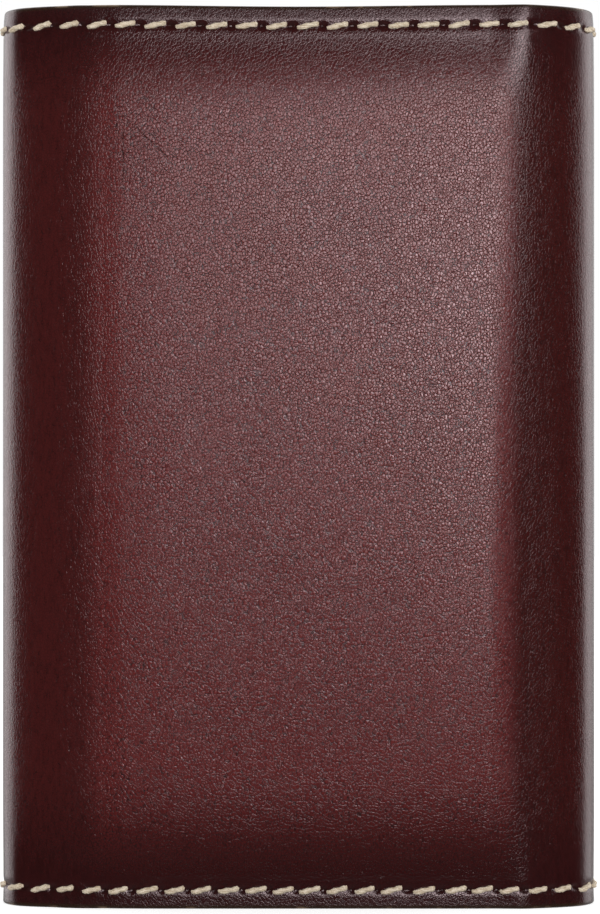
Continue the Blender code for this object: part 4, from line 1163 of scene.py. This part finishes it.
# %% Sew the slip pocket
POCKET_PITCH = 3.0 * MM
POCKET_LONG = 0.7 * POCKET_PITCH
pocket_lift = -POCKET_BACK - POCKET_THICK + 0.28 * MM
side_zs = row(POCKET_LOW + 3.4 * MM, POCKET_LOW + 2.6 * MM, POCKET_MOUTH - MOUTH_GAP, even(POCKET_PITCH))
pocket_stitches = [
    Stitch(side, z, math.pi / 2 + SLANT, POCKET_LONG, True)
    for side in (pocket_right + POCKET_SEAM, pocket_left - POCKET_SEAM) for z in side_zs
]
for s in row(thumb_middle, pocket_right + 2.4 * MM, pocket_left - 2.4 * MM, even(POCKET_PITCH)):
    pocket_stitches.append(Stitch(s, POCKET_LOW + POCKET_SEAM, SLANT, POCKET_LONG, False))
pocket_thread = sewn("pocket_stitches", [(stitch, pocket_lift, True) for stitch in pocket_stitches])

# %% [markdown]
# ## Metal finishes
# The plate, the rivets, the hooks and the press stud are brass with polished nickel plate, which has
# a faintly warm white. The gates are bright strip steel, rolled along their length. Even metal looks
# drawn, so both have the hair-fine scratches and smudges that keys leave: noise that changes the
# roughness and the bump.

# %% The metals
def metal(name, colour, roughness, scratch_stretch):
    """A worn metal. The stretch of its scratches has one number for each direction."""
    material, tree, shader = new_material(name)
    place = add(tree, "ShaderNodeTexCoord").outputs["Object"]
    where = scaled(tree, place, 1 / MM)
    scratches = noise(tree, vector(tree, "MULTIPLY", where, scratch_stretch), 3.0, 3.0, 0.7)
    smudges = noise(tree, where, 0.35, 3.0, 0.6)
    dulled = calc(tree, "ADD", fade(tree, smudges, 0.4, 0.7, 0.0, 0.12),
                  fade(tree, scratches, 0.5, 0.75, 0.0, 0.10))
    plug(tree, shader.inputs["Roughness"], calc(tree, "ADD", dulled, roughness))
    dark = rgb(*(0.7 * value for value in colour[:3]))
    tarnish = fade(tree, smudges, 0.45, 0.8, 0.0, 0.6)
    plug(tree, shader.inputs["Base Color"], mixed(tree, tarnish, colour, dark))
    bumped(tree, shader, scratches, 0.25, 0.01 * MM)
    shader.inputs["Metallic"].default_value = 1.0
    print(f"{name} has {len(tree.nodes)} nodes")
    return material


nickel_plate = metal("nickel_plate", rgb(0.66, 0.63, 0.585), 0.16, (1.0, 1.0, 1.0))
strip_steel = metal("strip_steel", rgb(0.56, 0.57, 0.58), 0.24, (6.0, 6.0, 0.4))

# %% [markdown]
# ## Rounded sheet metal and board
# The hook plate, the gates and the leather patch under the plate already have the right shape in
# the CAD model, but their edges are knife sharp. A Bevel modifier alone would bevel the border of
# every loose triangle. So a copy of each is merged, its flat faces are joined, and then every sharp
# edge is bevelled by a tenth of a millimetre or so, which is what catches the light.

# %% Round the edges of a copy
JOINED_BELOW, ROUNDED_ABOVE, SHARP_ABOVE = math.radians(2), math.radians(25), math.radians(35)


def mounted(piece, node, body):
    """Puts a finished rigid piece in the place of a CAD node, and on its body."""
    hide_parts(node)
    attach(piece, body)


def softened(node, name, width, material, segments=3):
    """A copy of a CAD node with rounded edges."""
    shape = bmesh.new()
    shape.from_mesh(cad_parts[node].data)
    bmesh.ops.remove_doubles(shape, verts=shape.verts, dist=0.002 * MM)
    bmesh.ops.dissolve_limit(shape, angle_limit=JOINED_BELOW, verts=shape.verts, edges=shape.edges)
    sharp = [side for side in shape.edges if side.is_manifold and side.calc_face_angle() > ROUNDED_ABOVE]
    bmesh.ops.bevel(shape, geom=sharp, offset=width, segments=segments, profile=0.5, affect="EDGES",
                    clamp_overlap=True)
    bmesh.ops.recalc_face_normals(shape, faces=shape.faces)
    data = bpy.data.meshes.new(name)
    shape.to_mesh(data)
    shape.free()
    data.materials.clear()
    data.materials.append(material)
    data.shade_smooth()
    data.set_sharp_from_angle(angle=SHARP_ABOVE)
    return new_object(name, data)


rail_plate = softened("hook_plate", "rail_plate", 0.12 * MM, nickel_plate)
mounted(rail_plate, "hook_plate", "centre")
for number in range(1, 7):
    gate = softened(f"hook_gate_{number}", f"spring_leaf_{number}", 0.06 * MM, strip_steel, 2)
    mounted(gate, f"hook_gate_{number}", f"gate_{number}")
print("plate faces:", len(rail_plate.data.polygons), "gate faces:", len(gate.data.polygons))

# %% [markdown]
# The patch is leather, so it gets the same two attributes as the strip, and with them the same
# material. Its flat coordinates are its own X and Z, moved down out of the painted shade of the upper
# seam. Its bending is set to almost half, which gives it a little of the painted shade of the folds.

# %% The patch under the plate
PATCH_DOWN = 45 * MM
PATCH_BEND = 0.4
patch = softened("plate_patch", "leather_patch", 0.2 * MM, burgundy)
mounted(patch, "plate_patch", "centre")
corner_low, corner_high = (Vector(corner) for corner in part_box("plate_patch"))
flat_layer = patch.data.attributes.new("strip", "FLOAT_VECTOR", "POINT")
bend_edge_hole_layer = patch.data.attributes.new("wear", "FLOAT_VECTOR", "POINT")
for k, vertex in enumerate(patch.data.vertices):
    x, y, z = vertex.co
    inside = min(x - corner_low.x, corner_high.x - x, z - corner_low.z, corner_high.z - z) / MM
    flat_layer.data[k].vector = (x, z - PATCH_DOWN, y)
    bend_edge_hole_layer.data[k].vector = (PATCH_BEND, inside + 0.2, 0.0)
print(f"the patch is {(corner_high.x - corner_low.x) / MM:.1f} mm wide")

# %% [markdown]
# ## Turned pieces
# Rivets and press stud are turned or pressed round parts. Each is a profile of radius and height,
# its corners rounded with small curves, spun about its axis in 72 steps. The Screw modifier could
# spin it too, but it leaves doubled points on the axis and at the seam.

# %% Spin a profile
TURN_STEPS = 72


def rounded(points, radius, steps=4):
    """A profile whose inner corners are replaced by small curves."""
    result = [points[0]]
    for before, corner, after in zip(points, points[1:], points[2:]):
        first, second = np.array(before) - corner, np.array(after) - corner
        reach = min(radius, np.linalg.norm(first) * 0.45, np.linalg.norm(second) * 0.45)
        start = np.array(corner) + first / max(np.linalg.norm(first), 1e-9) * reach
        stop = np.array(corner) + second / max(np.linalg.norm(second), 1e-9) * reach
        for k in range(steps + 1):
            u = k / steps
            result.append(tuple((1 - u) ** 2 * start + 2 * u * (1 - u) * np.array(corner) + u * u * stop))
    return result + [points[-1]]


def turned(name, profile, x, z, material, closed=False):
    """Spins a profile of (radius, y) about the line through (x, z) along Y."""
    shape = bmesh.new()
    rings = []
    for radius, y in profile:
        if radius < 1e-6:
            rings.append([shape.verts.new((x, y, z))])
            continue
        rings.append([
            shape.verts.new((x + radius * math.cos(math.tau * k / TURN_STEPS), y,
                             z + radius * math.sin(math.tau * k / TURN_STEPS)))
            for k in range(TURN_STEPS)
        ])
    pairs = list(zip(rings, rings[1:]))
    if closed:
        pairs.append((rings[-1], rings[0]))
    for low, high in pairs:
        for k in range(TURN_STEPS):
            j = (k + 1) % TURN_STEPS
            corners = [low[k % len(low)], low[j % len(low)], high[j % len(high)], high[k % len(high)]]
            unique = list(dict.fromkeys(corners))
            if len(unique) > 2:
                shape.faces.new(unique)
    bmesh.ops.recalc_face_normals(shape, faces=shape.faces)
    data = bpy.data.meshes.new(name)
    shape.to_mesh(data)
    shape.free()
    data.materials.append(material)
    data.shade_smooth()
    data.set_sharp_from_angle(angle=math.radians(50))
    return new_object(name, data)


def dome(radius, base, rise, steps=10):
    """A profile that closes with a flat dome."""
    return [(radius * math.cos(math.pi / 2 * k / steps), base + rise * math.sin(math.pi / 2 * k / steps))
            for k in range(steps + 1)]


def in_mm(*points):
    return [(radius * MM, y * MM) for radius, y in points]


# %% [markdown]
# All profiles are listed in millimetres, from the axis outwards and back to it. A rivet has a flat
# foot inside the leather and a low domed head on the plate.

# %% Rivets
RIVET_X, RIVET_Z = 18.0 * MM, 92.4 * MM
foot = rounded(in_mm((0, -7.925), (2.0, -7.925), (2.0, -7.625), (1.2, -7.625), (1.2, -4.575),
                     (2.15, -4.575)), 0.12 * MM)
head = in_mm((2.28, -4.52)) + dome(2.3 * MM, -4.42 * MM, 0.645 * MM)
for side, x in (("left", -RIVET_X), ("right", RIVET_X)):
    rivet = turned(f"rivet_{side}", foot + head, x, RIVET_Z, nickel_plate)
    mounted(rivet, f"plate_rivet_{side}", "centre")
print("rivet faces:", len(rivet.data.polygons))

# %% [markdown]
# The press stud has four pieces. The cap, with its rolled rim, holds the socket in the wide flap, and
# the eyelet holds the stud in the narrow one. The socket is an open ring, so its profile is closed.

# %% Press stud
SNAP_X, SNAP_Z = -13.0 * MM, 52.5 * MM
cap_under = rounded(in_mm((0, 8.525), (1.1, 8.525), (1.1, 5.475), (1.7, 5.475), (1.7, 8.525),
                          (5.9, 8.525)), 0.1 * MM)
cap_rim = in_mm((6.12, 8.56), (6.2, 8.68), (6.2, 8.86), (6.1, 9.0), (5.85, 9.07), (5.55, 9.06), (5.4, 9.07))
cap = cap_under + cap_rim + dome(5.3 * MM, 9.08 * MM, 0.52 * MM, 14)
socket = rounded(in_mm((2.4, 5.33), (5.4, 5.33), (5.4, 4.62), (5.0, 4.36), (4.2, 4.35), (3.9, 4.62),
                       (3.3, 4.62), (3.05, 4.36), (2.5, 4.36), (2.4, 4.5)), 0.14 * MM)[1:-1]
post = rounded(in_mm((0, 3.65), (4.6, 3.65), (4.6, 4.04), (3.6, 4.05), (3.2, 3.92), (2.2, 3.92),
                     (1.6, 4.12), (1.45, 4.45), (1.8, 4.68), (1.8, 4.96), (1.35, 5.24), (0.5, 5.25),
                     (0, 5.18)), 0.12 * MM)
eyelet = rounded(in_mm((0, 0.2), (1.1, 0.2), (1.25, 0.05), (2.2, -0.02), (4.0, 0.1), (4.2, 0.34),
                       (4.1, 0.46), (1.7, 0.47), (1.7, 3.5), (1.1, 3.5), (1.1, 0.45), (0, 0.45)), 0.12 * MM)
for name, profile, node, body in (
    ("stud_cap", cap, "snap_cap", "outer_flap"),
    ("stud_socket", socket, "snap_socket", "outer_flap"),
    ("stud_post", post, "snap_stud", "inner_flap"),
    ("stud_eyelet", eyelet, "snap_eyelet", "inner_flap"),
):
    stud_piece = turned(name, profile, SNAP_X, SNAP_Z, nickel_plate, closed=profile is socket)
    mounted(stud_piece, node, body)
    print(f"{name}: {len(stud_piece.data.polygons)} faces")

# %% [markdown]
# ## Key hooks
# A key hook is one length of wire: a stub, an arch, a long shank, a round bottom and a short tip. The
# wire tree sweeps a circle along the path and thins it to a round nose at both ends, where a curve
# with a bevel would be cut off blunt. The eye, a ring that holds the hook on the rail, is made by
# the same tree and soldered on under a small collar.

# %% The wire tree
wire_tree, start, end = new_tree(
    "draw_wire", ("Wire Radius", "Float"), ("Nose", "Float"), ("Sides", "Int"), ("Metal", "Material"))
wire_path = add(wire_tree, "GeometryNodeMeshToCurve", Mesh=start["Geometry"])
how_far = wire_tree.nodes.new("GeometryNodeSplineParameter").outputs["Length"]
whole = add(wire_tree, "GeometryNodeSplineLength").outputs["Length"]
to_end = calc(wire_tree, "MINIMUM", how_far, calc(wire_tree, "SUBTRACT", whole, how_far))
nose_share = calc(wire_tree, "DIVIDE", to_end, start["Nose"], clamp=True)
nose_gap = calc(wire_tree, "SUBTRACT", 1.0, nose_share)
squared_gap = calc(wire_tree, "MULTIPLY", nose_gap, nose_gap)
round_nose = calc(wire_tree, "SQRT", calc(wire_tree, "SUBTRACT", 1.0, squared_gap))
wire_ring = add(wire_tree, "GeometryNodeCurvePrimitiveCircle", {"mode": "RADIUS"}, Resolution=start["Sides"],
                Radius=start["Wire Radius"])
drawn = add(wire_tree, "GeometryNodeCurveToMesh", Curve=wire_path.outputs[0],
            Profile_Curve=wire_ring.outputs[0], Scale=calc(wire_tree, "MAXIMUM", round_nose, 0.03),
            Fill_Caps=True)
drawn_real = add(wire_tree, "GeometryNodeRealizeInstances", Geometry=drawn.outputs[0])
drawn_smooth = add(wire_tree, "GeometryNodeSetShadeSmooth", Geometry=drawn_real.outputs[0])
drawn_metal = add(wire_tree, "GeometryNodeSetMaterial", Geometry=drawn_smooth.outputs[0],
                  Material=start["Metal"])
plug(wire_tree, end["Geometry"], drawn_metal.outputs[0])
print("wire tree:", len(wire_tree.nodes), "nodes")

# %% [markdown]
# The path of the wire is drawn in the plane of the hook, from the middle of its eye. Its points lie
# closer together at both ends, where the nose is rounded.

# %% The path of a hook
HALF = 2.8 * MM  # half the width between the shank and the tip
ARCH, BASE, TIP, STUB = -5.4 * MM, -25.6 * MM, -21.0 * MM, -6.8 * MM
ARC_STEPS = 24
END_STEPS = [d * MM for d in (0.0, 0.08, 0.2, 0.4, 0.7, 1.1)]


def half_turn(middle_z, start):
    """Half a circle of the wire, from a start angle in half turns."""
    angles = [math.pi * (start + k / ARC_STEPS) for k in range(ARC_STEPS + 1)]
    return [(HALF * math.cos(angle), middle_z + HALF * math.sin(angle)) for angle in angles]


def hook_line():
    """The middle of the hook's wire as points in (x, z), from the stub to the tip."""
    stub = [(HALF, STUB + d) for d in END_STEPS]
    tip = [(HALF, TIP - d) for d in [2.0 * MM] + END_STEPS[::-1]]
    return stub + half_turn(ARCH, 0) + half_turn(BASE, 1) + tip


print(len(hook_line()), "points along the wire")

# %% [markdown]
# Shank, eye and collar are made apart and then joined, because a key hook is one rigid piece.

# %% Bend six hooks
HOOK_XS = [(number - 3.5) * 7.6 * MM for number in range(1, 7)]
PIVOT_Y, PIVOT_Z = -3.85 * MM, 82.9 * MM
SHANK_WIRE, EYE_WIRE, NOSE = 0.6 * MM, 0.5 * MM, 0.35 * MM
EYE_RADIUS, EYE_STEPS = 1.85 * MM, 40
COLLAR_DROP = 2.3 * MM
collar_top = dome(0.92 * MM, 0.0, 0.62 * MM, 8)
collar_profile = collar_top[::-1] + [(radius, -y) for radius, y in collar_top[1:]]


def as_edges(name, points, closed=False):
    mesh = bpy.data.meshes.new(name)
    edges = [(k, k + 1) for k in range(len(points) - 1)] + ([(len(points) - 1, 0)] if closed else [])
    mesh.from_pydata(points, edges, [])
    return mesh


def joined(name, *parts):
    """One object from several: their meshes put together."""
    shape = bmesh.new()
    for part in parts:
        shape.from_mesh(part.data)
    data = bpy.data.meshes.new(name)
    shape.to_mesh(data)
    shape.free()
    data.materials.append(parts[0].data.materials[0])
    for part in parts:
        bpy.data.objects.remove(part)
    return new_object(name, data)


for number, x in enumerate(HOOK_XS, start=1):
    wire = as_edges("shank", [(x + a, PIVOT_Y, PIVOT_Z + b) for a, b in hook_line()])
    shank = made_by(wire_tree, wire, "shank", Wire_Radius=SHANK_WIRE, Nose=NOSE, Sides=16,
                    Metal=nickel_plate)
    angles = [math.tau * k / EYE_STEPS for k in range(EYE_STEPS)]
    ring = [(x, PIVOT_Y + EYE_RADIUS * math.cos(a), PIVOT_Z + EYE_RADIUS * math.sin(a)) for a in angles]
    eye = made_by(wire_tree, as_edges("eye", ring, closed=True), "eye", Wire_Radius=EYE_WIRE, Nose=1e-6,
                  Sides=14, Metal=nickel_plate)
    collar = turned("collar", collar_profile, 0.0, 0.0, nickel_plate)
    for vertex in collar.data.vertices:
        vertex.co = (x + vertex.co.x, PIVOT_Y + vertex.co.z, PIVOT_Z - COLLAR_DROP + vertex.co.y)
    collar.data.flip_normals()
    hook = joined(f"wire_hook_{number}", shank, eye, collar)
    hook.data.shade_smooth()
    mounted(hook, f"key_hook_{number}", f"hook_{number}")
print("faces of one hook:", len(hook.data.polygons))

# %% [markdown]
# ## Stiffening boards
# The boards lie between leather and lining and hardly ever show. They are grey-brown millboard, so
# the CAD pieces stay and only get its pulpy, speckled look.

# %% The millboard
millboard, tree, shader = new_material("millboard")
where = scaled(tree, add(tree, "ShaderNodeTexCoord").outputs["Object"], 1 / MM)
pulp = noise(tree, where, 1.4, 5.0, 0.75)
plug(tree, shader.inputs["Base Color"],
     mixed(tree, fade(tree, pulp, 0.3, 0.7), rgb(0.20, 0.145, 0.09), rgb(0.36, 0.27, 0.18)))
shader.inputs["Roughness"].default_value = 0.9
bumped(tree, shader, pulp, 0.5, 0.05 * MM)
for node in ("centre_board", "outer_flap_board", "inner_flap_board"):
    for material_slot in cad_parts[node].material_slots:
        material_slot.material = millboard
print(millboard.name, "has", len(tree.nodes), "nodes")

# %% [markdown]
# ## Placed and replaced pieces
# Each stretch of leather, lining and thread keeps its place as a plain mesh. The pocket is on a flat
# panel and simply rides on it.

# %% Fix the stretches in place
for piece in (face_leather, face_lining, face_thread):
    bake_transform(piece)
for piece in (right_leather, right_lining, right_thread):
    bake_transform(piece)
for piece in (back_leather, back_lining, back_thread):
    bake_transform(piece)
for piece in (inner_leather, inner_lining, inner_thread):
    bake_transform(piece)
for piece in (card_pocket, pocket_thread):
    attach(piece, "outer_flap")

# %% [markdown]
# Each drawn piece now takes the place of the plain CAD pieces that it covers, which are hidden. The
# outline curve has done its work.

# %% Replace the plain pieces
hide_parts("centre_leather", "inner_fold_leather")
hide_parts("outer_fold_leather")
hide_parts("outer_flap_leather")
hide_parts("inner_flap_leather")
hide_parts("centre_top_thread", "centre_bottom_thread", "inner_fold_top_thread",
            "inner_fold_bottom_thread")
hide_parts("outer_fold_top_thread", "outer_fold_bottom_thread")
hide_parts("outer_flap_thread")
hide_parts("inner_flap_thread")
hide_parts("centre_lining", "inner_fold_lining")
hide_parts("outer_fold_lining")
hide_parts("outer_flap_lining")
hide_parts("inner_flap_lining")
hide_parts("slip_pocket")
bpy.data.objects.remove(path)

# %% [markdown]
# ## Floor, light and camera
# The case stands on a pale floor in a white studio. Four soft lights in front make the sheen on the
# face: one above the middle, one tall and leaning to the right, a narrow one that brightens the ridge
# before the right fold, and one for the upper corner. Two tall lights at the sides, a little behind,
# draw the bright lines along the folds, and the white surroundings do the rest. The world is white to
# the camera and even to matt surfaces. To gloss it is white behind the case and dark in front, so
# that the sheen keeps its edges, and dimmer below the horizon.

# %% The world
BACKDROP_WHITE = 1.0
AMBIENT = 0.62
world = bpy.data.worlds.new("white_studio")
bpy.context.scene.world = world
world.use_nodes = True
tree = world.node_tree
rays = tree.nodes.new("ShaderNodeLightPath").outputs
direction = tree.nodes.new("ShaderNodeTexCoord").outputs["Generated"]
_, depth, rise = split(tree, direction)
behind = fade(tree, depth, -0.22, 0.4, 0.015, 1.0)
backdrop = calc(tree, "MULTIPLY", behind, fade(tree, rise, -0.12, 0.06, 0.5, 1.0))
floor_in_front = fade(tree, rise, -0.6, -0.3, 0.1, 0.0)
surroundings = calc(tree, "MAXIMUM", backdrop, floor_in_front)
seen_by_gloss = calc(tree, "MULTIPLY", rays["Is Glossy Ray"], surroundings)
seen_by_matt = calc(tree, "MULTIPLY", calc(tree, "SUBTRACT", 1.0, rays["Is Glossy Ray"]), AMBIENT)
level = calc(tree, "MAXIMUM", calc(tree, "MAXIMUM", seen_by_gloss, seen_by_matt),
             calc(tree, "MULTIPLY", rays["Is Camera Ray"], BACKDROP_WHITE))
plug(tree, tree.nodes["Background"].inputs["Color"], join(tree, level, level, level))
print(world.name, "has", len(tree.nodes), "nodes")

# %% [markdown]
# The floor is pale and matt. To the camera it also glows, so that it melts into the white backdrop and
# only the shadow of the case shows. Gloss doesn't see the floor, and the world stands in for it.

# %% The floor
FLOOR_GLOW = 0.62
bpy.ops.mesh.primitive_plane_add(size=6.0)
floor = bpy.context.object
floor.name = "floor"
floor.visible_glossy = False
pale, tree, shader = new_material("pale_floor")
shader.inputs["Base Color"].default_value = rgb(0.8, 0.8, 0.8)
shader.inputs["Roughness"].default_value = 0.9
shader.inputs["Specular IOR Level"].default_value = 0.0
shader.inputs["Emission Color"].default_value = rgb(1.0, 1.0, 1.0)
floor_rays = tree.nodes.new("ShaderNodeLightPath").outputs
glow = calc(tree, "MULTIPLY", floor_rays["Is Camera Ray"], FLOOR_GLOW)
plug(tree, shader.inputs["Emission Strength"], glow)
floor.data.materials.append(pale)
print("the floor is", floor.dimensions.x, "m wide")

# %% [markdown]
# Each light is given by the direction it comes from and by its brightness as a surface, which is how
# bright it looks in the polish. Its power then follows from its size.

# %% The lights
LIGHT_DISTANCE = 0.9


def soft_light(name, azimuth, elevation, width, height, radiance, lean=0.0):
    """An area light that looks at the middle of the case. Its angles are in degrees."""
    data = bpy.data.lights.new(name, "AREA")
    data.shape = "RECTANGLE"
    data.size, data.size_y = width, height
    data.energy = 4 * width * height * radiance
    lamp = new_object(name, data)
    a, e = math.radians(azimuth), math.radians(elevation)
    towards = Vector((math.sin(a) * math.cos(e), -math.cos(a) * math.cos(e), math.sin(e)))
    lamp.location = towards * LIGHT_DISTANCE + Vector((0.0, 0.0, HEIGHT / 2))
    turn = towards.to_track_quat("Z", "Y") @ Quaternion((0, 0, 1), math.radians(lean))
    lamp.rotation_euler = turn.to_euler()
    lamp.visible_camera = False
    print(f"{name}: {data.energy:.2f} W")


soft_light("upper_light", -1.0, 8.6, 0.16, 0.175, 3.1)
soft_light("key_light", 10.5, 10.0, 0.17, 0.31, 4.8, lean=8.0)
soft_light("ridge_light", 6.2, 4.4, 0.05, 0.16, 9.5)
soft_light("corner_light", 20.5, 20.0, 0.18, 0.22, 4.0)
soft_light("left_light", -120, 12, 0.6, 0.8, 1.1)
soft_light("right_light", 114, 12, 0.6, 0.8, 1.05)

# %% [markdown]
# The camera stands level in front of the face, as for a catalogue. A shift moves the picture instead
# of tilting the camera, so the sides of the case stay upright. The lens follows from the scale.

# %% The camera
SCALE = 0.11567 * MM  # of one pixel, at the plain face
PIXELS_HIGH = 914
BOTTOM_ROW = 910.3  # the row of pixels that the lower edge of the case stands on
CAMERA_X = 0.17 * MM
CAMERA_DISTANCE = 375 * MM
EYE_HEIGHT = 46 * MM
SENSOR = 36.0
camera_data = bpy.data.cameras.new("camera")
camera_data.sensor_width = SENSOR
camera_data.lens = SENSOR * CAMERA_DISTANCE / (PIXELS_HIGH * SCALE)
camera_data.shift_y = (BOTTOM_ROW - EYE_HEIGHT / SCALE - PIXELS_HIGH / 2) / PIXELS_HIGH
camera_data.clip_start = 0.01
camera = new_object("camera", camera_data)
camera.location = (CAMERA_X, FRONT_Y - CAMERA_DISTANCE, EYE_HEIGHT)
camera.rotation_euler = (math.radians(90), 0, 0)
bpy.context.scene.camera = camera
bpy.context.scene.view_settings.view_transform = "Standard"
print(f"lens {camera_data.lens:.1f} mm, shift {camera_data.shift_y:.3f}")
